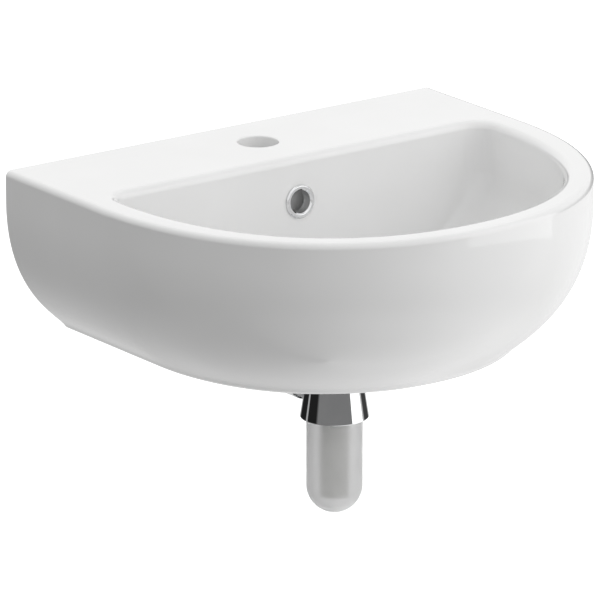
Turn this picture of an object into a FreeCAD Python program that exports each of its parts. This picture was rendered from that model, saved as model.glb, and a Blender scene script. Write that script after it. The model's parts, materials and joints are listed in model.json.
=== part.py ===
import FreeCAD, Part
import math
import os

# Wall hung hand basin with a bottle trap. Millimetres, +Z up, +X along the wall,
# the basin stands out from the wall along -Y. The origin is on the wall plane,
# midway between the two fixing bolts. Depths are measured down from the rim.

V = FreeCAD.Vector
UP = V(0, 0, 1)
TO_WALL = V(0, 1, 0)

# ---- basin, outside ----
WIDTH = 450.0             # overall width along the wall
SIDE_RUN = 134.0          # straight part of each side, from the wall
FRONT_RUN = 244.0         # round front, beyond the straight sides
FRONT_FULLNESS = 0.59     # fullness of the plan's round front: 0.552 is an ellipse
RIM_HEIGHT = 70.0         # rim above the fixing bolts
BASIN_HEIGHT = 151.5      # rim down to the foot
RIM_ROUND = 8.0           # outer round of the rim
WALL_TOP = 27.0           # depth where the upright side starts to turn in
WALL_PULL = 108.0         # depth of the pull point of the side's curve
FOOT_TUCK = 59.0          # how far the side has come in where the foot round starts
FOOT_SLOPE = 53.0         # slope of the side there, degrees from level
FOOT_PULL = 14.5          # length of the curve's last handle
FOOT_ROUND = 11.0         # round of the foot
FOOT_LIP = 15.0           # level lip of the foot, measured inward
FRONT_TUCK = 1.10         # the front comes in this much more than the sides
SKIN = 9.0                # thickness of the outer skin
DECK = 12.0               # thickness of the top deck

# ---- bowl ----
BOWL_HALF = 204.5         # centre to the side edge of the bowl, at the rim
BOWL_FRONT = 359.0        # wall to the front edge of the bowl
BOWL_BACK = 104.0         # wall to the back edge of the bowl
BOWL_CORNER = 27.5        # back corners in plan, at the rim
FLOOR_CORNER = 8.0        # how much rounder the back corners are at the floor
BOWL_ROUND = 7.4          # inner round of the rim
BOWL_DRAFT = 4.5          # slope of the bowl's wall from upright, degrees
BOWL_DEPTH = 110.0        # rim down to the floor
BOWL_BEND = 42.0          # depth where the wall starts to turn into the floor
BOWL_WALL = 10.0          # thickness of the bowl
FLOOR_HALF = 62.0         # half width of the level floor round the waste
FLOOR_BACK = 30.0         # waste centre to the back of the level floor
FLOOR_FRONT = 52.0        # waste centre to the front of the level floor
BEND_POWER = 2.3          # shape of the bend from wall to floor
ROUND_STEPS = 5           # sections down the inner round of the rim
BEND_STEPS = 8            # sections down the bend
SHELL_STEPS = 6           # sections down the outside of the bend

# ---- holes, bosses and the back ----
TAP_HOLE = 35.0           # diameter of the tap hole
TAP_BACK = 53.2           # wall to the tap hole's centre
TAP_ROUND = 1.2           # round of the tap hole's edge
TAP_BOSS = 31.0           # radius of the thicker deck under the tap
TAP_BOSS_DEEP = 18.0      # rim down to the underside of that boss
WASTE_BACK = 163.7        # wall to the waste's centre
WASTE_HOLE = 46.0         # diameter of the waste hole
RECESS_DEEP = 5.0         # sinking for the waste flange
BOSS_RADIUS = 37.0        # boss round the waste hole
BOSS_DEEP = 26.0          # floor down to the underside of the boss
FIX_SPACING = 280.0       # between the two fixing bolts
FIX_HOLE = 21.0           # diameter of each fixing hole
EAR_INNER = 92.0          # centre to the inner edge of each back ear
EAR_THICK = 14.0          # thickness of the back ears
EAR_DEEP = 128.0          # rim down to the underside of the ears
EAR_ROUND = 18.0          # round of the ears' lower inner corner
RIB_THICK = 8.0           # ribs between skin and bowl
RIB_TOP = 70.0            # rim down to the top of the ribs
RIB_DEEP = 134.0          # rim down to the lower edge of the ribs

# ---- overflow ----
OVERFLOW_DEEP = 39.0      # rim down to the overflow's centre
OVERFLOW_HOLE = 24.2      # diameter of the overflow hole
CHANNEL_HALF = 19.0       # half width of the overflow channel
CHANNEL_GAP = 9.0         # front to back size of the channel
CHANNEL_WALL = 7.0        # wall round the channel
CHANNEL_DROP = 19.0       # bowl floor down to the channel's floor
RING_OUTER = 29.5         # diameter of the overflow ring's face
RING_INNER = 20.0         # diameter of its opening
RING_PROUD = 2.2          # how far it stands out of the bowl's wall
RING_TAIL = 8.0           # length of its spigot in the hole
RING_SEAT = 0.3           # gap between its face and the curved wall

# ---- waste, 1 1/4 inch ----
TAIL_DIAMETER = 41.9      # outside of the threaded tail
TAIL_BORE = 36.0          # inside of the tail
TAIL_SHOWS = 8.85         # length of the tail below the back nut
FLANGE_DIAMETER = 63.0    # waste flange
FLANGE_THICK = 2.5        # at its edge
SEAT_RUN = 6.5            # level width of the dished seat that the plug closes
SEAT_FALL = 3.2           # height of that seat
SEAL_THICK = 2.0          # rubber under the flange
SLOT_WIDE = 13.0          # overflow slots in the tail
SLOT_HIGH = 9.0
SLOT_COUNT = 4
SPIDER_DROP = 20.0        # bowl floor down to the top of the spider
SPIDER_HIGH = 6.0
SPOKE_WIDE = 3.2
SPOKE_COUNT = 3
SPIDER_HUB = 9.5          # radius of the spider's hub
THREAD_GAP = 0.06         # radial clearance of a threaded or running pair
LOWER_SEAL = 4.0          # thickness of the tapered seal under the boss
LOWER_CONE = 3.0          # how far that seal reaches up into the waste hole
LOWER_RADIUS = 33.0       # radius of the seal and of the washer under it
SLIP_WASHER = 2.0         # thickness of the plastic washer
BACK_NUT = 7.0            # height of the back nut
BACK_NUT_FLATS = 54.0     # across its flats
BACK_NUT_FACE = 2.0       # thickness of its round bearing face
SEAT = 0.05               # gap between faces that lie on each other
LOOSE = 0.3               # clearance of faces that pass freely
BREAK = 0.8               # broken edge of a turned piece
CHAMFER = 1.2             # lead-in chamfer of a nut or a screwed end

# ---- plug ----
CAP_DIAMETER = 58.0
CAP_CROWN = 5.0           # height of the cap's dome above its edge
CAP_EDGE = 1.6            # thickness of its edge
SOCKET_RADIUS = 7.5       # boss under the cap that takes the stem
STEM_RADIUS = 3.0
STEM_LENGTH = 40.0        # below the cap's underside
CARTRIDGE_RADIUS = 6.5
CARTRIDGE_LENGTH = 32.0
CARTRIDGE_HEAD = 4.0      # its head above the spider
CARTRIDGE_END = 3.0       # thickness of its closed end
PLUG_GAP = 0.3            # clearance round the closed plug

# ---- bottle trap ----
INLET_NUT = 24.5          # radius of the inlet nut
INLET_NUT_HIGH = 16.5
INLET_SEAL = 2.5          # washer between the tail and the trap
COLLAR_RADIUS = 20.4      # collar that the inlet nut holds
COLLAR_THICK = 2.5
NECK_RADIUS = 17.0
NECK_LIP = 3.0            # lip of the inlet nut under the collar
HEAD_DROP = 10.0          # end of the tail down to the top of the cone
HEAD_HIGH = 49.7          # height of the cone
HEAD_TOP_RADIUS = 21.9
HEAD_LIP_RADIUS = 29.7
HEAD_ROOF = 4.0           # thickness of the head's top
SKIRT_BORE = 24.5         # radius of the threaded skirt
SKIRT_HIGH = 10.5         # height of that thread
CHAMBER = 20.0            # radius of the chamber above it
DIP_RADIUS = 12.5         # outside of the dip tube
DIP_WALL = 1.2
DIP_DROP = 70.3           # cone's lip down to the end of the dip tube
CUP_RADIUS = 23.7
CUP_WALL = 2.4
CUP_DROP = 61.5           # cone's lip down to the centre of the cup's round end
CUP_COLLAR = 24.2         # radius of the cup's threaded collar
CUP_COLLAR_END = 1.5      # lower edge of that collar above the cone's lip
CUP_RING = 1.8            # thickness of the seal on the cup
OUTLET_DROP = 22.5        # top of the cone down to the outlet's axis
STUB_RADIUS = 19.5        # outlet branch
STUB_LENGTH = 52.0        # trap axis to the end of the branch
STUB_SHOULDER = 1.5       # rise of the branch's plain part behind the nut
OUTLET_NUT = 22.0         # radius of the outlet nut
OUTLET_NUT_LONG = 25.0
OUTLET_NUT_LIP = 7.0
OUTLET_NUT_FALL = 2.5     # how far the nut tapers in over its last part
OUTLET_NUT_TAPER = 4.0    # length of that taper
OUTLET_SEAL = 4.0
OUTLET_SEAL_FALL = 1.4    # taper of the seal's outside
PIPE_RADIUS = 16.0
PIPE_WALL = 0.9
PIPE_INSERT = 28.0        # how far the pipe goes into the branch
PIPE_IN_WALL = 40.0       # how far it goes into the wall
ROSE_RADIUS = 32.0        # wall rose round the pipe
ROSE_DEEP = 13.0
ROSE_SHEET = 1.2
ROSE_COLLAR = 2.2         # thickness of the rose's collar round the pipe
ROSE_NECK = 0.38          # length of that collar as a share of the depth
ROSE_BEND = 0.42          # height of the dish's bend as a share of the depth
ROSE_BRIM = 5.0           # width of the dish's steep brim

# ---- wall fixings ----
BOLT_RADIUS = 5.0
BOLT_IN_WALL = 60.0
BOLT_OUT = 40.0           # how far the bolt stands out of the wall
BOLT_NECK = 6.0           # plain part of the bolt in the wall, before the wood thread
BOLT_CORE = 4.1           # radius of the wood thread's core
BOLT_POINT = 9.0          # length of its point
SLEEVE_RADIUS = 10.2      # nylon sleeve in the fixing hole
SLEEVE_HEAD = 15.0        # radius of its head
SLEEVE_HEAD_THICK = 3.0
WASHER_RADIUS = 13.0
WASHER_THICK = 2.0
NUT_FLATS = 17.0
NUT_HIGH = 8.0
GRIP_COUNT = 12           # flutes round the hand nut
GRIP_ROUND = 2.6          # radius of each flute
GRIP_BITE = 0.7           # depth of each flute
GRIP_END = 3.0            # plain band above and below the flutes

HALF = WIDTH / 2
RIM = RIM_HEIGHT
CLEAR = 400.0             # larger than the object, for cutting blocks


def at(depth):
    """Height of a level that lies depth below the rim."""
    return RIM - depth


def box(x0, x1, y0, y1, z0, z1):
    return Part.makeBox(x1 - x0, y1 - y0, z1 - z0, V(x0, y0, z0))


def rod(radius, z_low, z_high, x=0.0, y=0.0):
    return Part.makeCylinder(radius, z_high - z_low, V(x, y, z_low), UP)


def rod_y(radius, y0, y1, x, z):
    return Part.makeCylinder(radius, y1 - y0, V(x, y0, z), TO_WALL)


def turned(points, x=0.0, y=0.0):
    """Solid turned about an upright axis from (radius, height) corners."""
    corners = [V(r, 0, z) for r, z in points]
    face = Part.Face(Part.makePolygon(corners + corners[:1]))
    solid = face.revolve(V(0, 0, 0), UP, 360)
    solid.translate(V(x, y, 0))
    return solid


def turned_y(points, x, z):
    """Solid turned about an axis along the wall's normal, from (radius, y) corners."""
    solid = turned([(r, -y) for r, y in points])
    solid.rotate(V(0, 0, 0), V(1, 0, 0), 90)
    solid.translate(V(x, 0, z))
    return solid


def hexagon(flats, low, high, y=0.0):
    corner = flats / math.sqrt(3)
    ring = [V(corner * math.cos(math.radians(60 * i)), y + corner * math.sin(math.radians(60 * i)), low)
            for i in range(7)]
    return Part.Face(Part.makePolygon(ring)).extrude(V(0, 0, high - low))


# ---------------------------------------------------------------- basin


def front_quarter(half, straight, front, height):
    """A quarter of the round front, from a side to the middle."""
    curve = Part.BezierCurve()
    reach = straight + (front - straight) * FRONT_FULLNESS
    curve.setPoles([V(half, straight, height), V(half, reach, height),
                    V(half * FRONT_FULLNESS, front, height), V(0, front, height)])
    return curve.toShape()


def d_wire(half, back, straight, front, corner, height):
    """Closed D in plan: straight back, two back corners, straight sides, round front."""
    edges = [front_quarter(half, straight, front, height)]
    edges.append(front_quarter(-half, straight, front, height))
    edges.append(Part.makeLine(V(-half, straight, height), V(-half, back - corner, height)))
    if corner:
        edges.append(corner_arc(-half, back, corner, height))
    edges.append(Part.makeLine(V(-half + corner, back, height), V(half - corner, back, height)))
    if corner:
        edges.append(corner_arc(half, back, corner, height))
    edges.append(Part.makeLine(V(half, back - corner, height), V(half, straight, height)))
    return Part.Wire(edges)


def corner_arc(x, back, corner, height):
    side = math.copysign(1, x)
    centre = V(x - side * corner, back - corner, height)
    mid = centre + V(side, 1, 0) * (corner * math.sqrt(0.5))
    first = V(x, back - corner, height)
    last = V(x - side * corner, back, height)
    if side > 0:
        first, last = last, first
    return Part.Arc(first, mid, last).toShape()


def side_profile():
    """Points down the outside as (inset, depth, normal inset, normal depth)."""
    points = []
    for i in range(5):
        turn = math.radians(90 - 22.5 * i)
        points.append((RIM_ROUND * (1 - math.cos(turn)), RIM_ROUND * (1 - math.sin(turn)),
                       math.cos(turn), math.sin(turn)))
    slope = math.radians(FOOT_SLOPE)
    end_depth = BASIN_HEIGHT - FOOT_ROUND * (1 - math.cos(slope))
    upright = [(0.0, RIM_ROUND + (WALL_TOP - RIM_ROUND) * i / 3, 1.0, 0.0) for i in (1, 2)]
    points += upright
    poles = [(0.0, WALL_TOP), (0.0, WALL_PULL),
             (FOOT_TUCK - FOOT_PULL * math.cos(slope), end_depth - FOOT_PULL * math.sin(slope)),
             (FOOT_TUCK, end_depth)]
    for i in range(9):
        points.append(bezier_point(poles, i / 8))
    centre = (FOOT_TUCK + FOOT_ROUND * math.sin(slope), BASIN_HEIGHT - FOOT_ROUND)
    for i in range(1, 4):
        turn = slope * (1 - i / 3)
        points.append((centre[0] - FOOT_ROUND * math.sin(turn), centre[1] + FOOT_ROUND * math.cos(turn),
                       math.sin(turn), -math.cos(turn)))
    return points


def bezier_point(poles, t):
    """Point and inward normal of a curve with four poles."""
    s = 1 - t
    weights = s ** 3, 3 * s * s * t, 3 * s * t * t, t ** 3
    steps = 3 * s * s, 6 * s * t, 3 * t * t
    inset, depth = (sum(w * p[k] for w, p in zip(weights, poles)) for k in (0, 1))
    run, fall = (sum(w * (b[k] - a[k]) for w, a, b in zip(steps, poles, poles[1:])) for k in (0, 1))
    length = math.hypot(run, fall)
    return inset, depth, fall / length, -run / length


def outer_section(inset, depth, back=1.0):
    """Level section of the basin's outside; back reaches past the wall plane."""
    front = -(SIDE_RUN + FRONT_RUN - FRONT_TUCK * inset)
    return d_wire(HALF - inset, back, -SIDE_RUN, front, 0.0, at(depth))


def outside_form():
    wires = [outer_section(inset, depth) for inset, depth, _, _ in side_profile()]
    return Part.makeLoft(wires, True, False)


def inside_form():
    """Space within the outer skin, open below; flat bands, because nothing shows there."""
    wires = [outer_section(SKIN, DECK, 2.0), outer_section(SKIN, WALL_TOP, 2.0)]
    for inset, depth, n_inset, n_depth in side_profile()[::-2][::-1]:
        if depth > WALL_TOP:
            wires.append(outer_section(inset + SKIN * n_inset, depth + SKIN * n_depth, 2.0))
    return Part.makeLoft(wires, True, True)


def foot_opening():
    """Opening in the underside, within the foot's level lip."""
    inset = side_profile()[-1][0] + FOOT_LIP
    low = outer_section(inset, BASIN_HEIGHT + 1, 2.0)
    high = outer_section(inset, BASIN_HEIGHT - FOOT_ROUND - SKIN, 2.0)
    return Part.makeLoft([low, high], True, True)


def bowl_inset(depth, run):
    """How far a bowl wall has come in at a depth; run is its level travel in the bend."""
    if depth <= BOWL_ROUND:
        return math.sqrt(BOWL_ROUND ** 2 - (BOWL_ROUND - depth) ** 2)
    inset = BOWL_ROUND + (depth - BOWL_ROUND) * math.tan(math.radians(BOWL_DRAFT))
    if depth > BOWL_BEND:
        s = min(1.0, (depth - BOWL_BEND) / (BOWL_DEPTH - BOWL_BEND))
        inset += run * (1 - (1 - s ** BEND_POWER) ** (1 / BEND_POWER))
    return inset


def bowl_section(depth, wall=0.0):
    """Level section of the bowl, or of its outside where wall is given."""
    full = BOWL_ROUND + (BOWL_DEPTH - BOWL_ROUND) * math.tan(math.radians(BOWL_DRAFT))
    side = bowl_inset(depth, BOWL_HALF - full - FLOOR_HALF)
    front = bowl_inset(depth, BOWL_FRONT - full - WASTE_BACK - FLOOR_FRONT)
    back = bowl_inset(depth, WASTE_BACK - FLOOR_BACK - BOWL_BACK - full)
    share = min(1.0, max(0.0, (depth - BOWL_BEND) / (BOWL_DEPTH - BOWL_BEND)))
    straight = -SIDE_RUN - share * (WASTE_BACK - SIDE_RUN)
    y_back = -(BOWL_BACK + back)
    corner = BOWL_CORNER - min(back, BOWL_ROUND) + share * FLOOR_CORNER
    corner = min(corner, y_back - straight - 0.5)
    return d_wire(BOWL_HALF - side + wall, y_back + wall, straight, -(BOWL_FRONT - front) - wall,
                  corner + wall, at(depth + wall * share))


def round_levels():
    """Depths down the inner round of the rim."""
    return [BOWL_ROUND * (1 - math.cos(math.pi / 2 * i / ROUND_STEPS)) for i in range(ROUND_STEPS + 1)]


def bend_levels(steps):
    """Depths down the bend from wall to floor, closest where it turns level."""
    fall = BOWL_DEPTH - BOWL_BEND
    return [BOWL_BEND + fall * math.sin(math.pi / 2 * i / steps) for i in range(steps + 1)]


def bowl_form():
    """The space that holds the water, and a cap above it that opens the rim."""
    levels = round_levels() + [(BOWL_ROUND + BOWL_BEND) / 2] + bend_levels(BEND_STEPS)
    wires = [bowl_section(depth) for depth in levels]
    cap = Part.Face(wires[0]).extrude(V(0, 0, 5))
    return [Part.makeLoft(wires, True, False), cap]


def bowl_shell():
    """The bowl's outside, from the deck down to the underside of its floor."""
    levels = [BOWL_ROUND / 2, BOWL_ROUND] + bend_levels(SHELL_STEPS)
    return Part.makeLoft([bowl_section(depth, BOWL_WALL) for depth in levels], True, True)


def basin_body():
    """Skin, bowl, bosses, ears and ribs, each opened by the bowl before they join."""
    outside = outside_form()
    water = bowl_form()
    wall = box(-CLEAR, CLEAR, 0, CLEAR, -CLEAR, CLEAR)
    skin = outside.cut([inside_form(), foot_opening()]).cut(water[0]).cut([water[1], wall])
    extras = [bowl_shell(), tap_boss(), waste_boss(), channel_casing()]
    extras += [ear(side) for side in (-1, 1)]
    extras += [rib(side) for side in (-1, 1)]
    body = skin
    for piece in extras:
        body = body.fuse(piece.common(outside).cut(water[0]))
    for hole in holes():
        body = body.cut(hole)
    return body.removeSplitter()


def tap_boss():
    return rod(TAP_BOSS, at(TAP_BOSS_DEEP), at(0), y=-TAP_BACK)


def waste_boss():
    low = at(BOWL_DEPTH + BOSS_DEEP)
    return rod(BOSS_RADIUS, low, at(BOWL_DEPTH), y=-WASTE_BACK)


def wall_back(depth):
    """Distance from the wall to the bowl's back face at a depth above the bend."""
    return BOWL_BACK + bowl_inset(depth, 0.0)


def channel_casing():
    """Casing of the overflow channel behind the bowl and under its floor."""
    half = CHANNEL_HALF + CHANNEL_WALL
    back = -(wall_back(BOWL_BEND) - BOWL_WALL - CHANNEL_GAP - CHANNEL_WALL)
    low = at(BOWL_DEPTH + BOSS_DEEP)
    upright = box(-half, half, -(wall_back(BOWL_BEND)), back, low, at(OVERFLOW_DEEP - OVERFLOW_HOLE))
    under = box(-half, half, -WASTE_BACK, back, low, at(BOWL_DEPTH))
    return upright.fuse(under)


def channel_floor():
    return BOWL_DEPTH + CHANNEL_DROP


def channel():
    """Water way from the overflow hole down to the waste hole."""
    front = -(wall_back(BOWL_BEND) - BOWL_WALL)
    top = at(OVERFLOW_DEEP - OVERFLOW_HOLE / 2)
    upright = box(-CHANNEL_HALF, CHANNEL_HALF, front, front + CHANNEL_GAP, at(channel_floor()), top)
    under = box(-CHANNEL_HALF, CHANNEL_HALF, -WASTE_BACK, front + CHANNEL_GAP,
                at(channel_floor()), at(channel_floor() - CHANNEL_GAP))
    return upright.fuse(under)


def ear(side):
    """Back ear that bears on the wall and takes a fixing bolt."""
    x0, x1 = sorted((side * EAR_INNER, side * HALF))
    block = box(x0, x1, -EAR_THICK, 0, at(EAR_DEEP), at(DECK / 2))
    corner = V(side * EAR_INNER, -EAR_THICK / 2, at(EAR_DEEP))
    inner = [edge for edge in block.Edges if edge.CenterOfMass.isEqual(corner, 1e-6)]
    return block.makeFillet(EAR_ROUND, inner)


def rib(side):
    """Upright rib that joins the bowl to the outer skin."""
    x0, x1 = sorted((side * FLOOR_HALF, side * HALF))
    return box(x0, x1, -SIDE_RUN - RIB_THICK / 2, -SIDE_RUN + RIB_THICK / 2, at(RIB_DEEP), at(RIB_TOP))


def overflow_frame(shape):
    """Turns a shape built about the Z axis so that it faces out of the bowl's back wall."""
    shape.rotate(V(0, 0, 0), V(1, 0, 0), 90 - BOWL_DRAFT)
    shape.translate(V(0, -wall_back(OVERFLOW_DEEP), at(OVERFLOW_DEEP)))
    return shape


def holes():
    top = at(0)
    tap = turned([(0, at(TAP_BOSS_DEEP) - 1), (TAP_HOLE / 2, at(TAP_BOSS_DEEP) - 1),
                  (TAP_HOLE / 2, top - TAP_ROUND), (TAP_HOLE / 2 + TAP_ROUND, top), (0, top)], y=-TAP_BACK)
    waste = rod(WASTE_HOLE / 2, at(BASIN_HEIGHT), at(BOWL_DEPTH) + 1, y=-WASTE_BACK)
    recess = rod(FLANGE_DIAMETER / 2 + 1, at(BOWL_DEPTH + RECESS_DEEP), at(BOWL_DEPTH) + 1, y=-WASTE_BACK)
    overflow = overflow_frame(rod(OVERFLOW_HOLE / 2, -BOWL_WALL - CHANNEL_GAP / 2, BOWL_WALL))
    fixings = [rod_y(FIX_HOLE / 2, -EAR_THICK - 1, 1, side * FIX_SPACING / 2, 0) for side in (-1, 1)]
    return [tap, waste, recess, channel(), overflow] + fixings


def overflow_ring():
    outer = RING_OUTER / 2
    inner = RING_INNER / 2
    tail = OVERFLOW_HOLE / 2 - THREAD_GAP
    ring = turned([(inner, -RING_TAIL), (tail, -RING_TAIL), (tail, RING_SEAT), (outer, RING_SEAT),
                   (outer, RING_PROUD * 0.45), (outer - RING_PROUD * 0.6, RING_PROUD),
                   (inner + RING_PROUD * 0.6, RING_PROUD), (inner, RING_PROUD * 0.45)])
    return overflow_frame(ring)


# ---------------------------------------------------------------- waste


def about_waste(shape):
    shape.translate(V(0, -WASTE_BACK, 0))
    return shape


def flange_top():
    """Depth of the upper face of the waste flange at its edge."""
    return BOWL_DEPTH + RECESS_DEEP - SEAL_THICK - SEAT - FLANGE_THICK


def waste_body():
    """Flange with a dished seat, slotted tail and a three spoke spider."""
    top = flange_top()
    under = top + FLANGE_THICK
    outer = TAIL_DIAMETER / 2
    bore = TAIL_BORE / 2
    edge = FLANGE_DIAMETER / 2
    end = tail_end()
    body = turned([(bore, at(end)), (outer - BREAK, at(end)), (outer, at(end - BREAK)), (outer, at(under)),
                   (edge, at(under)), (edge, at(top + BREAK)), (edge - BREAK, at(top)),
                   (seat_top(), at(top)), (bore, at(top + SEAT_FALL))])
    for i in range(SLOT_COUNT):
        slot = box(0, outer + 1, -SLOT_WIDE / 2, SLOT_WIDE / 2, at(slot_low()), at(slot_low() - SLOT_HIGH))
        slot.rotate(V(0, 0, 0), UP, 360 * (i + 0.5) / SLOT_COUNT)
        body = body.cut(slot)
    for i in range(SPOKE_COUNT):
        spoke = box(CARTRIDGE_RADIUS, bore + LOOSE, -SPOKE_WIDE / 2, SPOKE_WIDE / 2,
                    at(spider_top() + SPIDER_HIGH), at(spider_top()))
        spoke.rotate(V(0, 0, 0), UP, 90 + 360 * i / SPOKE_COUNT)
        body = body.fuse(spoke)
    hub = rod(SPIDER_HUB, at(spider_top() + SPIDER_HIGH), at(spider_top()))
    body = body.fuse(hub).cut(rod(CARTRIDGE_RADIUS, at(end), at(spider_top() - 1)))
    return about_waste(body.removeSplitter())


def tail_end():
    """Depth of the lower end of the tail."""
    return back_nut_top() + BACK_NUT + TAIL_SHOWS


def spider_top():
    return BOWL_DEPTH + SPIDER_DROP


def slot_low():
    """Depth of the lower edge of the overflow slots, just above the channel's floor."""
    return channel_floor() - LOOSE


def seat_top():
    """Radius of the upper edge of the dished seat that the plug closes."""
    return TAIL_BORE / 2 + SEAT_RUN


def waste_flange_seal():
    low = BOWL_DEPTH + RECESS_DEEP - SEAT
    high = flange_top() + FLANGE_THICK + SEAT
    inner = TAIL_DIAMETER / 2 + THREAD_GAP
    outer = FLANGE_DIAMETER / 2 - 1
    return about_waste(turned([(inner, at(low)), (outer, at(low)), (outer, at(high)), (inner, at(high))]))


def stack_top():
    """Depth of the underside of the boss, where the lower seal starts."""
    return BOWL_DEPTH + BOSS_DEEP


def waste_lower_seal():
    """Tapered rubber seal that centres in the waste hole."""
    top = stack_top() + SEAT
    inner = TAIL_DIAMETER / 2 + THREAD_GAP
    cone = WASTE_HOLE / 2 - LOOSE
    low = at(top + LOWER_SEAL)
    high = at(top - LOWER_CONE)
    seal = turned([(inner, low), (LOWER_RADIUS, low), (LOWER_RADIUS, at(top)), (cone, at(top)),
                   (cone - BREAK, high), (inner, high)])
    return about_waste(seal)


def waste_slip_washer():
    top = stack_top() + LOWER_SEAL + 2 * SEAT
    inner = TAIL_DIAMETER / 2 + THREAD_GAP
    ring = turned([(inner, at(top + SLIP_WASHER)), (LOWER_RADIUS, at(top + SLIP_WASHER)),
                   (LOWER_RADIUS, at(top)), (inner, at(top))])
    return about_waste(ring)


def back_nut_top():
    return stack_top() + LOWER_SEAL + SLIP_WASHER + 3 * SEAT


def waste_back_nut():
    """Hexagon nut with a round bearing flange and chamfered corners."""
    top = at(back_nut_top())
    low = top - BACK_NUT
    corner = BACK_NUT_FLATS / math.sqrt(3)
    nut = hexagon(BACK_NUT_FLATS, low, top)
    limit = turned([(0, low), (corner - CHAMFER, low), (corner, low + CHAMFER), (corner, top), (0, top)])
    nut = nut.common(limit).fuse(rod(corner, top - BACK_NUT_FACE, top))
    nut = nut.cut(rod(TAIL_DIAMETER / 2 + THREAD_GAP, low - 1, top + 1))
    return about_waste(nut)


# ---------------------------------------------------------------- plug


def cap_under():
    """Depth of the closed cap's underside at its edge."""
    return flange_top() - PLUG_GAP


def plug_cap():
    """Domed cap with a socket for the stem underneath."""
    edge = CAP_DIAMETER / 2
    low = at(cap_under())
    rim = low + CAP_EDGE
    crown = rim + CAP_CROWN
    ball = (edge ** 2 + CAP_CROWN ** 2) / (2 * CAP_CROWN)
    arc = Part.Arc(V(edge, 0, rim), V(edge / 2, 0, crown - ball + math.sqrt(ball ** 2 - edge ** 2 / 4)),
                   V(0, 0, crown)).toShape()
    foot = low - SEAT_FALL
    lines = Part.makePolygon([V(0, 0, crown), V(0, 0, foot), V(SOCKET_RADIUS, 0, foot),
                              V(SOCKET_RADIUS, 0, low), V(edge - BREAK, 0, low), V(edge, 0, low + BREAK),
                              V(edge, 0, rim)])
    face = Part.Face(Part.Wire(lines.Edges + [arc]))
    cap = face.revolve(V(0, 0, 0), UP, 360)
    socket = rod(STEM_RADIUS, foot - 1, low)
    return about_waste(cap.cut(socket))


def plug_seal():
    """Rubber ring under the cap that lies in the dished seat."""
    top = at(cap_under()) - SEAT
    low = top - SEAT_FALL + BREAK
    inner = SOCKET_RADIUS + THREAD_GAP
    outer = seat_top() - 3 * PLUG_GAP
    foot = outer - (top - low) * SEAT_RUN / SEAT_FALL
    ring = turned([(inner, low), (foot, low), (outer, top - SEAT), (outer, top), (inner, top)])
    return about_waste(ring)


def plug_stem():
    top = at(cap_under()) - SEAT
    low = top - STEM_LENGTH
    stem = turned([(0, low), (STEM_RADIUS - BREAK, low), (STEM_RADIUS - THREAD_GAP, low + BREAK),
                   (STEM_RADIUS - THREAD_GAP, top), (0, top)])
    return about_waste(stem)


def plug_cartridge():
    """Closed click unit, screwed into the spider."""
    top = at(spider_top() - CARTRIDGE_HEAD)
    low = top - CARTRIDGE_LENGTH
    tail = CARTRIDGE_RADIUS - THREAD_GAP
    head = SPIDER_HUB - BREAK
    bore = STEM_RADIUS + THREAD_GAP
    seat = at(spider_top()) + SEAT
    floor = low + CARTRIDGE_END
    unit = turned([(0, low), (tail - CHAMFER, low), (tail, low + CHAMFER), (tail, seat), (head, seat),
                   (head, top - BREAK), (head - BREAK, top), (bore, top), (bore, floor), (0, floor)])
    return about_waste(unit)


# ---------------------------------------------------------------- bottle trap


def trap_inlet_nut():
    """Hand nut that joins the trap to the waste; grips round the outside."""
    low = at(collar_low()) - NECK_LIP
    top = low + INLET_NUT_HIGH
    thread = TAIL_DIAMETER / 2 + THREAD_GAP
    neck = NECK_RADIUS + LOOSE
    seat = at(collar_low()) - SEAT
    nut = turned([(neck, low), (INLET_NUT - CHAMFER, low), (INLET_NUT, low + CHAMFER),
                  (INLET_NUT, top - CHAMFER), (INLET_NUT - CHAMFER, top), (thread, top), (thread, seat),
                  (neck, seat)])
    return about_waste(grips(nut, INLET_NUT, low + GRIP_END, top - GRIP_END))


def grips(nut, radius, low, high):
    """Shallow upright flutes round a hand nut."""
    cutters = []
    for i in range(GRIP_COUNT):
        angle = 2 * math.pi * i / GRIP_COUNT
        reach = radius + GRIP_ROUND - GRIP_BITE
        cutters.append(rod(GRIP_ROUND, low, high, reach * math.cos(angle), reach * math.sin(angle)))
    return nut.cut(cutters)


def collar_top():
    return tail_end() + INLET_SEAL + 2 * SEAT


def collar_low():
    return collar_top() + COLLAR_THICK


def trap_inlet_washer():
    top = at(tail_end()) - SEAT
    low = top - INLET_SEAL
    bore = DIP_RADIUS + 2 * DIP_WALL
    return about_waste(turned([(bore, low), (COLLAR_RADIUS, low), (COLLAR_RADIUS, top), (bore, top)]))


def head_top():
    """Depth of the top of the cone."""
    return tail_end() + HEAD_DROP


def head_lip():
    """Depth of the cone's lower lip."""
    return head_top() + HEAD_HIGH


def outlet_height():
    """Height of the outlet's axis."""
    return at(head_top() + OUTLET_DROP)


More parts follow.
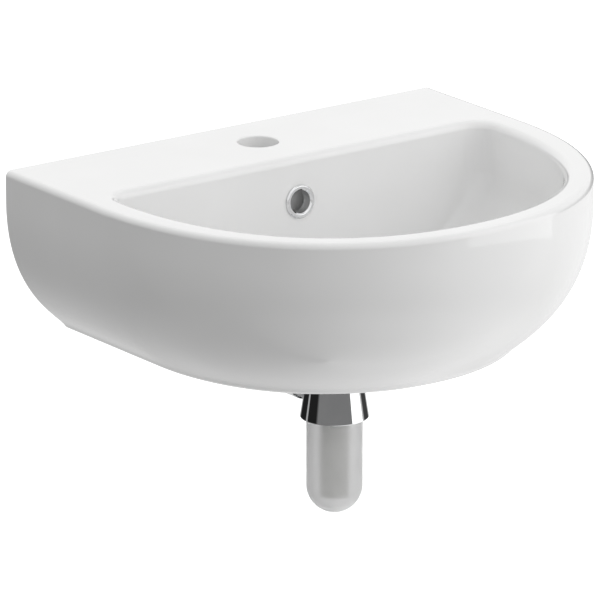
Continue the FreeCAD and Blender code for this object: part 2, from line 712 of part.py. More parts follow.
def trap_head():
    """Cone with a collar on top, a threaded skirt below and an outlet branch."""
    lip = at(head_lip())
    shoulder = lip + SKIRT_HIGH
    crown = at(head_top())
    roof = crown - HEAD_ROOF
    tube = DIP_RADIUS + THREAD_GAP
    collar = at(collar_low())
    top = at(collar_top())
    inside = [(tube, roof), (CHAMBER, roof), (CHAMBER, shoulder), (SKIRT_BORE, shoulder), (SKIRT_BORE, lip)]
    cone = [(HEAD_LIP_RADIUS - BREAK, lip), (HEAD_LIP_RADIUS, lip + BREAK), (HEAD_TOP_RADIUS, crown - BREAK),
            (HEAD_TOP_RADIUS - BREAK, crown)]
    neck = [(NECK_RADIUS, crown), (NECK_RADIUS, collar), (COLLAR_RADIUS, collar), (COLLAR_RADIUS, top),
            (tube, top)]
    head = turned(inside + cone + neck)
    z = outlet_height()
    branch = rod_y(STUB_RADIUS, CHAMBER, STUB_LENGTH, 0, z)
    branch = branch.fuse(rod_y(STUB_RADIUS + STUB_SHOULDER, CHAMBER, STUB_LENGTH - OUTLET_NUT_LONG, 0, z))
    hollow = turned([(0, lip), (SKIRT_BORE, lip), (SKIRT_BORE, shoulder), (CHAMBER, shoulder),
                     (CHAMBER, roof), (0, roof)])
    head = head.fuse(branch.cut(hollow))
    head = head.cut(rod_y(PIPE_RADIUS + THREAD_GAP, 0, STUB_LENGTH + 1, 0, z))
    return about_waste(head)


def trap_dip_tube():
    """Tube that leads the water down into the cup, pressed into the head."""
    top = at(collar_top())
    low = at(head_lip() + DIP_DROP)
    bore = DIP_RADIUS - DIP_WALL
    return about_waste(turned([(bore, low), (DIP_RADIUS, low), (DIP_RADIUS, top), (bore, top)]))


def cup_top():
    """Depth of the cup's upper edge, under its seal."""
    return head_lip() - SKIRT_HIGH + CUP_RING + 2 * SEAT


def trap_cup():
    """Cup with a round end and a threaded collar."""
    inner = CUP_RADIUS - CUP_WALL
    centre = at(head_lip() + CUP_DROP)
    collar_end = at(head_lip() - CUP_COLLAR_END)
    half = math.sqrt(0.5)
    top = at(cup_top())
    step = collar_end - (CUP_COLLAR - CUP_RADIUS)
    sides = Part.makePolygon([V(inner, 0, centre), V(inner, 0, top), V(CUP_COLLAR, 0, top),
                              V(CUP_COLLAR, 0, collar_end), V(CUP_RADIUS, 0, step), V(CUP_RADIUS, 0, centre)])
    outer_arc = Part.Arc(V(CUP_RADIUS, 0, centre), V(CUP_RADIUS * half, 0, centre - CUP_RADIUS * half),
                         V(0, 0, centre - CUP_RADIUS)).toShape()
    inner_arc = Part.Arc(V(0, 0, centre - inner), V(inner * half, 0, centre - inner * half),
                         V(inner, 0, centre)).toShape()
    axis = Part.makeLine(V(0, 0, centre - CUP_RADIUS), V(0, 0, centre - inner))
    face = Part.Face(Part.Wire(sides.Edges + [outer_arc, axis, inner_arc]))
    return about_waste(face.revolve(V(0, 0, 0), UP, 360))


def trap_cup_seal():
    top = at(head_lip() - SKIRT_HIGH) - SEAT
    low = top - CUP_RING
    return about_waste(turned([(CUP_RADIUS - CUP_WALL, low), (CUP_COLLAR, low), (CUP_COLLAR, top),
                               (CUP_RADIUS - CUP_WALL, top)]))


def branch_end():
    """Wall-side end of the outlet branch."""
    return -WASTE_BACK + STUB_LENGTH


def trap_outlet_seal():
    """Cone shaped rubber ring round the pipe at the branch's end."""
    start = branch_end() + SEAT
    bore = PIPE_RADIUS + THREAD_GAP
    outer = STUB_RADIUS - BREAK
    return turned_y([(bore, start), (outer, start), (outer - OUTLET_SEAL_FALL, start + OUTLET_SEAL),
                     (bore, start + OUTLET_SEAL)], 0, outlet_height())


def trap_outlet_nut():
    """Round hand nut that clamps the pipe's seal."""
    inside = branch_end() + OUTLET_SEAL + 2 * SEAT
    end = inside + OUTLET_NUT_LIP
    start = end - OUTLET_NUT_LONG
    thread = STUB_RADIUS + THREAD_GAP
    pipe = PIPE_RADIUS + LOOSE
    return turned_y([(thread, start), (OUTLET_NUT - BREAK, start), (OUTLET_NUT, start + BREAK),
                     (OUTLET_NUT, end - OUTLET_NUT_TAPER), (OUTLET_NUT - OUTLET_NUT_FALL, end), (pipe, end),
                     (pipe, inside), (thread, inside)], 0, outlet_height())


def outlet_pipe():
    start = branch_end() - PIPE_INSERT
    bore = PIPE_RADIUS - PIPE_WALL
    return turned_y([(bore, start), (PIPE_RADIUS, start), (PIPE_RADIUS, PIPE_IN_WALL), (bore, PIPE_IN_WALL)],
                    0, outlet_height())


def wall_rose():
    """Dished cover that slides on the pipe and hides the hole in the wall."""
    bore = PIPE_RADIUS + THREAD_GAP
    neck = PIPE_RADIUS + ROSE_COLLAR
    sheet = ROSE_SHEET
    root = -ROSE_DEEP * (1 - ROSE_NECK)
    bend = -ROSE_DEEP * ROSE_BEND
    dish = ROSE_RADIUS - ROSE_BRIM
    return turned_y([(bore, -ROSE_DEEP), (neck, -ROSE_DEEP), (neck, root), (dish, bend),
                     (ROSE_RADIUS, -SEAT - sheet), (ROSE_RADIUS, -SEAT), (ROSE_RADIUS - sheet, -SEAT),
                     (dish - sheet, bend + sheet), (bore, root + sheet)], 0, outlet_height())


# ---------------------------------------------------------------- wall fixings


def wall_bolt(side):
    """Hanger bolt: wood screw end in the wall, machine thread outside."""
    x = side * FIX_SPACING / 2
    core_start = BOLT_NECK + 2 * (BOLT_RADIUS - BOLT_CORE)
    core_end = BOLT_IN_WALL - BOLT_POINT
    return turned_y([(0, -BOLT_OUT), (BOLT_RADIUS - CHAMFER, -BOLT_OUT), (BOLT_RADIUS, -BOLT_OUT + CHAMFER),
                     (BOLT_RADIUS, BOLT_NECK), (BOLT_CORE, core_start), (BOLT_CORE, core_end),
                     (0, BOLT_IN_WALL)], x, 0)


def bolt_sleeve(side):
    """Nylon sleeve that centres the bolt in the fixing hole."""
    bore = BOLT_RADIUS + THREAD_GAP
    face = -EAR_THICK - SEAT
    front = face - SLEEVE_HEAD_THICK
    return turned_y([(bore, front), (SLEEVE_HEAD - BREAK, front), (SLEEVE_HEAD, front + BREAK),
                     (SLEEVE_HEAD, face), (SLEEVE_RADIUS, face), (SLEEVE_RADIUS, -LOOSE), (bore, -LOOSE)],
                    side * FIX_SPACING / 2, 0)


def washer_face():
    return -EAR_THICK - SLEEVE_HEAD_THICK - 2 * SEAT


def bolt_washer(side):
    face = washer_face()
    bore = BOLT_RADIUS + THREAD_GAP
    return turned_y([(bore, face - WASHER_THICK), (WASHER_RADIUS, face - WASHER_THICK), (WASHER_RADIUS, face),
                     (bore, face)], side * FIX_SPACING / 2, 0)


def bolt_nut(side):
    """Hexagon nut with chamfered corners."""
    face = washer_face() - WASHER_THICK - SEAT
    corner = NUT_FLATS / math.sqrt(3)
    nut = hexagon(NUT_FLATS, 0, NUT_HIGH)
    limit = turned([(0, 0), (corner - BREAK, 0), (corner, BREAK), (corner, NUT_HIGH - BREAK),
                    (corner - BREAK, NUT_HIGH), (0, NUT_HIGH)])
    nut = nut.common(limit).cut(rod(BOLT_RADIUS + THREAD_GAP, -1, NUT_HIGH + 1))
    nut.rotate(V(0, 0, 0), V(1, 0, 0), 90)
    nut.translate(V(side * FIX_SPACING / 2, face, 0))
    return nut


PIECES = {
    "basin_body": basin_body,
    "overflow_ring": overflow_ring,
    "waste_body": waste_body,
    "waste_flange_seal": waste_flange_seal,
    "waste_lower_seal": waste_lower_seal,
    "waste_slip_washer": waste_slip_washer,
    "waste_back_nut": waste_back_nut,
    "plug_cap": plug_cap,
    "plug_seal": plug_seal,
    "plug_stem": plug_stem,
    "plug_cartridge": plug_cartridge,
    "trap_inlet_nut": trap_inlet_nut,
    "trap_inlet_washer": trap_inlet_washer,
    "trap_head": trap_head,
    "trap_dip_tube": trap_dip_tube,
    "trap_cup": trap_cup,
    "trap_cup_seal": trap_cup_seal,
    "trap_outlet_seal": trap_outlet_seal,
    "trap_outlet_nut": trap_outlet_nut,
    "outlet_pipe": outlet_pipe,
    "wall_rose": wall_rose,
}
FIXINGS = {
    "wall_bolt": wall_bolt,
    "bolt_sleeve": bolt_sleeve,
    "bolt_washer": bolt_washer,
    "bolt_nut": bolt_nut,
}
SIDES = {"left": -1, "right": 1}


def save(name, shape):
    """Writes one piece as one closed solid."""
    solid = shape.Solids[0]
    if solid.Volume < 0:
        solid.reverse()
    print(name, solid.isValid(), len(shape.Solids), round(solid.Volume), solid.optimalBoundingBox())
    solid.exportStep("parts/%s.step" % name)


def main():
    os.makedirs("parts", exist_ok=True)
    for name, build in PIECES.items():
        save(name, build())
    for name, build in FIXINGS.items():
        for side, sign in SIDES.items():
            save("%s_%s" % (name, side), build(sign))


main()
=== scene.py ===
"""Wall hung hand basin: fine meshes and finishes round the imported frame.

Metres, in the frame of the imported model: the wall is the plane y = 0, +Z is up and the
fixing bolts lie at z = 0, below the rim by RIM.
"""

import json
import logging
import math
from dataclasses import dataclass
from enum import Enum
from typing import Optional, Sequence

import bmesh
import bpy
from mathutils import Matrix, Vector


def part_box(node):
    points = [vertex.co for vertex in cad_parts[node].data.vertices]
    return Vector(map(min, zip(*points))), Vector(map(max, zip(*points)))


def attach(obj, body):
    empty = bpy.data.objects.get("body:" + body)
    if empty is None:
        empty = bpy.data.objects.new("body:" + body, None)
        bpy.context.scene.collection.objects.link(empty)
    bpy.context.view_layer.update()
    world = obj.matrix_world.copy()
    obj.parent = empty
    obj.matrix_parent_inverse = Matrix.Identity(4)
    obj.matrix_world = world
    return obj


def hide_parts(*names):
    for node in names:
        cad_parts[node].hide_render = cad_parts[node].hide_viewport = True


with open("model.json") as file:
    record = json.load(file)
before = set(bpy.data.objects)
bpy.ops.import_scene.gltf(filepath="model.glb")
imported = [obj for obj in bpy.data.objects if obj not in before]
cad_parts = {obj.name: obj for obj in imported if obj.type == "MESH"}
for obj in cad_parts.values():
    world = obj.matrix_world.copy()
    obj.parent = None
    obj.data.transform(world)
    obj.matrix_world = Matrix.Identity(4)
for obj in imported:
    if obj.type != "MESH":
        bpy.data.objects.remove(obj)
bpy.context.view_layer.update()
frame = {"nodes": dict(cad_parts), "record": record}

LOG = logging.getLogger("basin")
MM = 0.001
RIM = 70 * MM
FIT = 0.06 * MM  # play between a piece and what it runs or screws on
SEAM = 0.1 * MM  # a closed profile ends this far from where it starts, on a hidden face
CRISP, FINE, EASED, SOFT, FULL = 0.2 * MM, 0.3 * MM, 0.4 * MM, 0.5 * MM, 0.8 * MM  # rounds of edges
QUARTER = math.pi / 2
CREASE, NUT_CREASE = 35.0, 30.0  # edges that turn more degrees stay sharp
Point = tuple[float, float]
Place = tuple[float, float, float]
Stops = tuple[tuple[float, float], ...]
Shape = bpy.types.Object
Socket = bpy.types.NodeSocket


def at(depth: float) -> float:
    """Height of a level that lies depth below the rim."""
    return RIM - depth


# ------------------------------------------------------------------ node trees


class Nodes:
    """A node tree that is filled node by node."""

    def __init__(self, tree: bpy.types.NodeTree) -> None:
        """Takes the tree that the nodes go into."""
        self.tree = tree

    def feed(self, node: bpy.types.Node, inputs: dict[str | int, object]) -> None:
        """Links or sets a node's inputs.

        Args:
            node: the node.
            inputs: input name or number, with the socket or value that it takes.
        """
        for key, value in inputs.items():
            if isinstance(value, Socket):
                self.tree.links.new(value, node.inputs[key])
            else:
                node.inputs[key].default_value = value

    def add(self, kind: str, inputs: Optional[dict[str | int, object]] = None, output: str | int = 0,
            **settings: object) -> Socket:
        """Adds a node.

        Args:
            kind: the node's type.
            inputs: what its inputs take, as in feed.
            output: the output that is wanted.
            settings: the node's own properties.

        Returns:
            The output socket.
        """
        node = self.tree.nodes.new(kind)
        for name, value in settings.items():
            setattr(node, name, value)
        self.feed(node, inputs or {})
        return node.outputs[output]

    def math(self, operation: str, first: object, second: object = 0.0) -> Socket:
        """Adds a Math node on one or two values."""
        return self.add("ShaderNodeMath", {0: first, 1: second}, operation=operation)

    def axes(self, vector: Socket) -> list[Socket]:
        """Splits a vector.

        Args:
            vector: the vector.

        Returns:
            Its X, Y and Z.
        """
        node = self.tree.nodes.new("ShaderNodeSeparateXYZ")
        self.feed(node, {0: vector})
        return list(node.outputs)


class Form(Nodes):
    """A Geometry Nodes tree with named inputs, which ends in one geometry."""

    def __init__(self, name: str) -> None:
        """Starts the tree.

        Args:
            name: its name.
        """
        super().__init__(bpy.data.node_groups.new(name, "GeometryNodeTree"))
        self.tree.interface.new_socket("Geometry", in_out="OUTPUT", socket_type="NodeSocketGeometry")
        self.inputs = self.tree.nodes.new("NodeGroupInput")
        self.output = self.tree.nodes.new("NodeGroupOutput")

    def ask(self, name: str, kind: str, default: Optional[float] = None) -> Socket:
        """Adds a named input.

        Args:
            name: the input's name.
            kind: Geometry, Int, Float or Material.
            default: its value where none is given.

        Returns:
            The socket that carries it in the tree.
        """
        item = self.tree.interface.new_socket(name, in_out="INPUT", socket_type="NodeSocket" + kind)
        if default is not None:
            item.default_value = default
        return self.inputs.outputs[name]

    def finish(self, geometry: Socket, finish: Socket) -> bpy.types.NodeTree:
        """Ends the tree in Realize Instances and Set Material.

        Args:
            geometry: what the tree made.
            finish: the material input.

        Returns:
            The finished tree.
        """
        real = self.add("GeometryNodeRealizeInstances", {"Geometry": geometry})
        dressed = self.add("GeometryNodeSetMaterial", {"Geometry": real, "Material": finish})
        self.feed(self.output, {0: dressed})
        return self.tree


def lathe_tree() -> bpy.types.NodeTree:
    """Turns the object's own row of points in the XZ plane about Z, with optional flutes.

    Returns:
        The tree. Flutes bite into points beyond Grip Radius, between Grip Low and Grip High.
    """
    form = Form("turned_form")
    profile = form.ask("Geometry", "Geometry")
    steps = form.ask("Steps", "Int", 96)
    count, bite, grip_radius, grip_low, grip_high = (
        form.ask(name, "Float", default) for name, default in (
            ("Grip Count", 0.0), ("Grip Depth", 0.0), ("Grip Radius", 1.0), ("Grip Low", 0.0),
            ("Grip High", 0.0)))
    finish = form.ask("Finish", "Material")
    rows = form.add("GeometryNodeAttributeDomainSize", {"Geometry": profile}, "Point Count")
    grid = form.add("GeometryNodeMeshGrid", {"Vertices X": form.math("ADD", steps, 1.0), "Vertices Y": rows})
    index = form.add("GeometryNodeInputIndex")
    column = form.math("FLOOR", form.math("DIVIDE", form.math("ADD", index, 0.5), rows))
    row = form.math("SUBTRACT", index, form.math("MULTIPLY", column, rows))
    angle = form.math("DIVIDE", form.math("MULTIPLY", column, 2 * math.pi), steps)
    place = form.add("GeometryNodeSampleIndex",
                     {"Geometry": profile, "Value": form.add("GeometryNodeInputPosition"), "Index": row},
                     data_type="FLOAT_VECTOR")
    radius, _, height = form.axes(place)
    wave = form.math("MAXIMUM", form.math("COSINE", form.math("MULTIPLY", angle, count)), 0.0)
    between = form.math("MULTIPLY", form.math("GREATER_THAN", height, grip_low),
                        form.math("LESS_THAN", height, grip_high))
    where = form.math("MULTIPLY", form.math("GREATER_THAN", radius, grip_radius), between)
    cut = form.math("MULTIPLY", form.math("MULTIPLY", wave, bite), where)
    reach = form.math("SUBTRACT", radius, cut)
    point = form.add("ShaderNodeCombineXYZ", {
        "X": form.math("MULTIPLY", reach, form.math("COSINE", angle)),
        "Y": form.math("MULTIPLY", reach, form.math("SINE", angle)), "Z": height})
    turned = form.add("GeometryNodeSetPosition", {"Geometry": grid, "Position": point})
    closed = form.add("GeometryNodeMergeByDistance", {"Geometry": turned, "Distance": 2e-7})
    return form.finish(closed, finish)


def thread_tree() -> bpy.types.NodeTree:
    """Makes a screw thread: a spiral ridge that rises along the Z axis.

    Returns:
        The tree.
    """
    form = Form("screw_thread")
    form.ask("Geometry", "Geometry")
    turns, radius, length, crest = (form.ask(name, "Float", default) for name, default in (
        ("Turns", 8.0), ("Root Radius", 0.004), ("Length", 0.02), ("Crest", 0.0006)))
    finish = form.ask("Finish", "Material")
    spiral = form.add("GeometryNodeCurveSpiral", {
        "Resolution": 40, "Rotations": turns, "Start Radius": radius, "End Radius": radius, "Height": length})
    upright = form.add("GeometryNodeSetCurveNormal", {"Curve": spiral}, mode="Z_UP")
    ridge = form.add("GeometryNodeCurvePrimitiveCircle", {"Resolution": 4, "Radius": crest}, mode="RADIUS")
    solid = form.add("GeometryNodeCurveToMesh", {"Curve": upright, "Profile Curve": ridge, "Fill Caps": True})
    return form.finish(solid, finish)


# ------------------------------------------------------------------ finishes


class Slot(Enum):
    """The record's material slots."""

    CERAMIC = "ceramic"
    CHROME = "chrome"
    BRASS = "brass"
    FROSTED = "frosted_plastic"
    WHITE_PLASTIC = "white_plastic"
    NYLON = "nylon"
    RUBBER = "rubber"
    ZINC = "zinc_steel"


@dataclass(frozen=True)
class Pattern:
    """A noise on the object's own coordinates, in features per metre."""

    scale: float
    detail: float
    seed: float = 0.0
    stretch: Place = (1.0, 1.0, 1.0)

    def draw(self, nodes: Nodes) -> Socket:
        """Adds the noise.

        Args:
            nodes: the material's tree.

        Returns:
            The noise's value.
        """
        place = nodes.add("ShaderNodeMapping", {
            "Vector": nodes.add("ShaderNodeTexCoord", output="Object"),
            "Location": (self.seed, self.seed * 0.7, self.seed * 1.3), "Scale": self.stretch})
        return nodes.add("ShaderNodeTexNoise", {"Vector": place, "Scale": self.scale, "Detail": self.detail},
                         "Fac")


@dataclass(frozen=True)
class Finish:
    """Two tones and two roughnesses that drift with clouds, under a fine relief."""

    name: str
    low: Place
    high: Place
    roughness: tuple[float, float]
    clouds: Pattern
    grain: Optional[Pattern] = None
    relief: float = 0.0
    strength: float = 0.4
    values: tuple[tuple[str, float], ...] = ()

    def tones(self, nodes: Nodes, clouds: Socket) -> Socket:
        """Turns clouds into a colour between the two tones.

        Args:
            nodes: the material's tree.
            clouds: the clouds' value.

        Returns:
            The colour.
        """
        node = nodes.tree.nodes.new("ShaderNodeValToRGB")
        for stop, place, tone in zip(node.color_ramp.elements, (0.35, 0.65), (self.low, self.high)):
            stop.position, stop.color = place, (*tone, 1)
        nodes.feed(node, {0: clouds})
        return node.outputs["Color"]

    def material(self) -> bpy.types.Material:
        """Builds the node material; the relief follows the clouds where there is no grain.

        Returns:
            The material.
        """
        material = bpy.data.materials.new(self.name)
        material.use_nodes = True
        nodes = Nodes(material.node_tree)
        shader = nodes.tree.nodes["Principled BSDF"]
        clouds = self.clouds.draw(nodes)
        rough = nodes.add("ShaderNodeMapRange", {"Value": clouds, "To Min": self.roughness[0],
                                                 "To Max": self.roughness[1]})
        nodes.feed(shader, {"Base Color": self.tones(nodes, clouds), "Roughness": rough, **dict(self.values)})
        if self.relief:
            height = self.grain.draw(nodes) if self.grain else clouds
            nodes.feed(shader, {"Normal": nodes.add("ShaderNodeBump", {
                "Height": height, "Distance": self.relief, "Strength": self.strength})})
        return material


METAL = (("Metallic", 1.0),)
SKIN = Pattern(35.0, 3.0, 1.0)
CLAY = Finish("fired_clay", (0.66, 0.65, 0.62), (0.75, 0.745, 0.73), (0.45, 0.75), Pattern(26.0, 4.0, 3.0),
              Pattern(900.0, 2.0, 5.0), 0.0002, 0.35)
FINISHES = {
    Slot.CERAMIC: Finish(
        "white_glaze", (0.800, 0.800, 0.797), (0.825, 0.825, 0.823), (0.018, 0.034), Pattern(9.0, 2.0),
        Pattern(260.0, 1.0), 0.00001, 0.10,
        (("IOR", 1.52), ("Coat Weight", 0.35), ("Coat Roughness", 0.012))),
    Slot.CHROME: Finish("polished_chrome", (0.74, 0.745, 0.755), (0.79, 0.795, 0.80), (0.020, 0.055),
                        Pattern(40.0, 3.0), values=METAL),
    Slot.BRASS: Finish("turned_brass", (0.60, 0.44, 0.19), (0.72, 0.56, 0.27), (0.22, 0.36),
                       Pattern(900.0, 3.0, 0.0, (0.15, 0.15, 3.0)), None, 0.00004, 0.5, METAL),
    Slot.ZINC: Finish("zinc_plate", (0.52, 0.53, 0.55), (0.66, 0.67, 0.68), (0.26, 0.42),
                      Pattern(300.0, 3.0, 0.0, (1.0, 0.2, 1.0)), None, 0.00003, 0.5, METAL),
    Slot.FROSTED: Finish(
        "frosted_plastic", (0.93, 0.93, 0.93), (0.96, 0.96, 0.96), (0.30, 0.36), Pattern(60.0, 2.0, 4.0),
        Pattern(1500.0, 1.0, 6.0), 0.00003, 0.2,
        (("Transmission Weight", 0.95), ("IOR", 1.45), ("Specular IOR Level", 0.9), ("Coat Weight", 0.6),
         ("Coat Roughness", 0.30), ("Coat IOR", 1.6), ("Sheen Weight", 0.5), ("Sheen Roughness", 0.35))),
    Slot.WHITE_PLASTIC: Finish("white_plastic", (0.74, 0.74, 0.72), (0.80, 0.80, 0.78), (0.35, 0.48), SKIN,
                               Pattern(700.0, 1.0, 2.0), 0.00005),
    Slot.NYLON: Finish("natural_nylon", (0.72, 0.70, 0.63), (0.79, 0.77, 0.70), (0.38, 0.55), SKIN,
                       Pattern(700.0, 1.0, 2.0), 0.00005),
    Slot.RUBBER: Finish("black_rubber", (0.012, 0.012, 0.012), (0.028, 0.028, 0.028), (0.55, 0.75), SKIN,
                        Pattern(500.0, 1.0, 2.0), 0.0001),
}


# ------------------------------------------------------------------ mesh helpers


def linked(name: str, mesh: bpy.types.Mesh) -> Shape:
    """Puts a mesh in the scene.

    Args:
        name: the object's name.
        mesh: its mesh.

    Returns:
        The object.
    """
    shape = bpy.data.objects.new(name, mesh)
    bpy.context.scene.collection.objects.link(shape)
    return shape


def mesh_object(name: str, points: Sequence[Sequence[float]], faces: Sequence[Sequence[int]]) -> Shape:
    """Makes a mesh object.

    Args:
        name: the object's name.
        points: corners in metres.
        faces: corner indices of each face.

    Returns:
        The object.
    """
    mesh = bpy.data.meshes.new(name)
    mesh.from_pydata([tuple(p) for p in points], [], [tuple(f) for f in faces])
    mesh.update()
    return linked(name, mesh)


def outward(shape: Shape) -> None:
    """Merges doubles and turns every face of a closed mesh outward.

    Args:
        shape: the mesh object that is changed.
    """
    work = bmesh.new()
    work.from_mesh(shape.data)
    bmesh.ops.remove_doubles(work, verts=work.verts, dist=1e-7)
    bmesh.ops.recalc_face_normals(work, faces=work.faces)
    if work.calc_volume(signed=True) < 0:
        bmesh.ops.reverse_faces(work, faces=work.faces)
    work.to_mesh(shape.data)
    work.free()


def drop(shape: Shape) -> None:
    """Deletes a helper object and its mesh.

    Args:
        shape: the mesh object.
    """
    mesh = shape.data
    bpy.data.objects.remove(shape)
    if not mesh.users:
        bpy.data.meshes.remove(mesh)


def settle(shape: Shape) -> None:
    """Replaces an object's mesh by its evaluated one and removes its modifiers.

    Args:
        shape: the mesh object that is changed.
    """
    graph = bpy.context.evaluated_depsgraph_get()
    mesh = bpy.data.meshes.new_from_object(shape.evaluated_get(graph), depsgraph=graph)
    old = shape.data
    shape.modifiers.clear()
    shape.data = mesh
    mesh.name = shape.name
    if not old.users:
        bpy.data.meshes.remove(old)


def smooth(shape: Shape, angle: float) -> None:
    """Shades smooth, sharp past an angle, with broad faces keeping their own normal.

    Args:
        shape: the mesh object that is changed.
        angle: edges that turn more than this many degrees stay sharp.
    """
    shape.data.polygons.foreach_set("use_smooth", [True] * len(shape.data.polygons))
    shape.data.set_sharp_from_angle(angle=math.radians(angle))
    weighted = shape.modifiers.new("even_normals", "WEIGHTED_NORMAL")
    weighted.keep_sharp = True
    weighted.weight = 80
    settle(shape)


def combine(base: Shape, tools: Sequence[Shape], operation: str) -> Shape:
    """Joins, cuts or trims a closed base with closed tools.

    Args:
        base: the mesh object that is changed.
        tools: closed mesh objects, deleted afterwards.
        operation: UNION, DIFFERENCE or INTERSECT.

    Returns:
        The base.
    """
    for tool in tools:
        modifier = base.modifiers.new("solid", "BOOLEAN")
        modifier.operation = operation
        modifier.solver = "MANIFOLD"
        modifier.object = tool
        settle(base)
        drop(tool)
    return base


def painted(shape: Shape, index: int) -> Shape:
    """Gives every face of a mesh object one material index."""
    shape.data.polygons.foreach_set("material_index", [index] * len(shape.data.polygons))
    return shape


def stack(name: str, loops: Sequence[Sequence[Place]], index: int = 0, ring: bool = False) -> Shape:
    """Closed solid through equal loops of points.

    Args:
        name: the object's name.
        loops: loops of equal length, from one end to the other.
        index: material index of every face.
        ring: joins the last loop to the first, where flat ends would otherwise close it.

    Returns:
        The mesh object.
    """
    count, rows = len(loops[0]), len(loops)
    points = [p for loop in loops for p in loop]
    faces = []
    for level in range(rows if ring else rows - 1):
        low, high = level * count, (level + 1) % rows * count
        faces += [(low + i, low + (i + 1) % count, high + (i + 1) % count, high + i) for i in range(count)]
    if not ring:
        faces += [tuple(reversed(range(count))), tuple(range(len(points) - count, len(points)))]
    shape = mesh_object(name, points, faces)
    outward(shape)
    return painted(shape, index)


def circle(radius: float, steps: int) -> list[Point]:
    """Points round a circle."""
    return [(radius * math.cos(turn), radius * math.sin(turn))
            for turn in (2 * math.pi * i / steps for i in range(steps))]


def turned_solid(name: str, profile: Sequence[Point], y: float = 0.0, index: int = 0, steps: int = 96,
                 ring: bool = False) -> Shape:
    """A closed solid turned about an upright axis at x = 0, for cutting and joining.

    Args:
        name: the object's name.
        profile: (radius, height) points from one flat end to the other.
        y: place of the axis.
        index: material index.
        steps: faces round the axis.
        ring: joins the profile's last point to its first.

    Returns:
        The mesh object.
    """
    loops = [[(x, y + across, height) for x, across in circle(radius, steps)] for radius, height in profile]
    return stack(name, loops, index, ring)


def block(name: str, low: Place, high: Place, soften: float, index: int = 0) -> Shape:
    """A block with softened edges, for cutting and joining.

    Args:
        name: the object's name.
        low: lowest corner.
        high: highest corner.
        soften: round of its edges.
        index: material index of every face.

    Returns:
        The mesh object.
    """
    work = bmesh.new()
    bmesh.ops.create_cube(work, size=1.0)
    size = Vector(high) - Vector(low)
    middle = (Vector(high) + Vector(low)) / 2
    bmesh.ops.transform(work, verts=work.verts,
                        matrix=Matrix.Translation(middle) @ Matrix.Diagonal((*size, 1)))
    bmesh.ops.bevel(work, geom=work.edges[:] + work.verts[:], offset=soften, segments=4, profile=0.5,
                    affect="EDGES", clamp_overlap=True)
    mesh = bpy.data.meshes.new(name)
    work.to_mesh(mesh)
    work.free()
    return painted(linked(name, mesh), index)


def bezier(poles: Sequence[Point], t: float) -> tuple[Point, Point]:
    """Finds a place on a curve with four poles.

    Args:
        poles: the poles.
        t: share of the curve, from 0 to 1.

    Returns:
        The point and the direction there.
    """
    s = 1 - t
    weights = s ** 3, 3 * s * s * t, 3 * s * t * t, t ** 3
    slopes = 3 * s * s, 6 * s * t, 3 * t * t
    return (tuple(sum(w * p[k] for w, p in zip(weights, poles)) for k in (0, 1)),
            tuple(sum(w * (b[k] - a[k]) for w, a, b in zip(slopes, poles, poles[1:])) for k in (0, 1)))


def rounded(corners: Sequence[tuple[float, ...]], segments: int = 6) -> list[Point]:
    """Rounds the corners of an open profile.

    Args:
        corners: (radius, height) or (radius, height, round) of each corner.
        segments: steps in each rounded corner.

    Returns:
        The profile's points.
    """
    points: list[Point] = []
    for i, corner in enumerate(corners):
        here = Vector(corner[:2])
        radius = corner[2] if len(corner) > 2 else 0.0
        if not radius or i in (0, len(corners) - 1):
            points.append((here.x, here.y))
            continue
        before = Vector(corners[i - 1][:2]) - here
        after = Vector(corners[i + 1][:2]) - here
        turn = math.pi - before.angle(after)
        reach = min(radius * math.tan(turn / 2), before.length * 0.49, after.length * 0.49)
        radius = reach / math.tan(turn / 2)
        before.normalize()
        after.normalize()
        centre = here + (before + after).normalized() * (radius / math.cos(turn / 2))
        start = here + before * reach - centre
        side = 1 if start.cross(here + after * reach - centre) > 0 else -1
        for k in range(segments + 1):
            angle = side * turn * k / segments
            c, s = math.cos(angle), math.sin(angle)
            points.append((centre.x + start.x * c - start.y * s, centre.y + start.x * s + start.y * c))
    return points


def arc(centre: Point, radius: float, start: float, stop: float, steps: int) -> list[Point]:
    """Points of an arc in a profile.

    Args:
        centre: the arc's centre.
        radius: its radius.
        start: first angle in degrees, 0 along the radius axis.
        stop: last angle.
        steps: steps between them.

    Returns:
        The points.
    """
    angles = [math.radians(start + (stop - start) * i / steps) for i in range(steps + 1)]
    return [(centre[0] + radius * math.cos(a), centre[1] + radius * math.sin(a)) for a in angles]


def joined(shapes: Sequence[Shape], name: str) -> Shape:
    """Joins mesh objects that stand at the origin.

    Args:
        shapes: the objects, deleted afterwards.
        name: the result's name.

    Returns:
        The joined object.
    """
    work = bmesh.new()
    materials: list[bpy.types.Material] = []
    for shape in shapes:
        start = len(work.faces)
        work.from_mesh(shape.data)
        work.faces.ensure_lookup_table()
        for face in work.faces[start:]:
            face.material_index += len(materials)
        materials += [slot.material for slot in shape.material_slots]
    mesh = bpy.data.meshes.new(name)
    work.to_mesh(mesh)
    work.free()
    for material in materials:
        mesh.materials.append(material)
    result = linked(name, mesh)
    for shape in shapes:
        drop(shape)
    return result


def extent(node: str) -> tuple[Vector, Vector]:
    """Lowest and highest corner of a CAD node."""
    low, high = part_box(node)
    return Vector(low), Vector(high)


@dataclass(frozen=True)
class Grips:
    """Flutes round a hand nut."""

    count: float
    depth: float
    radius: float
    low: float
    high: float


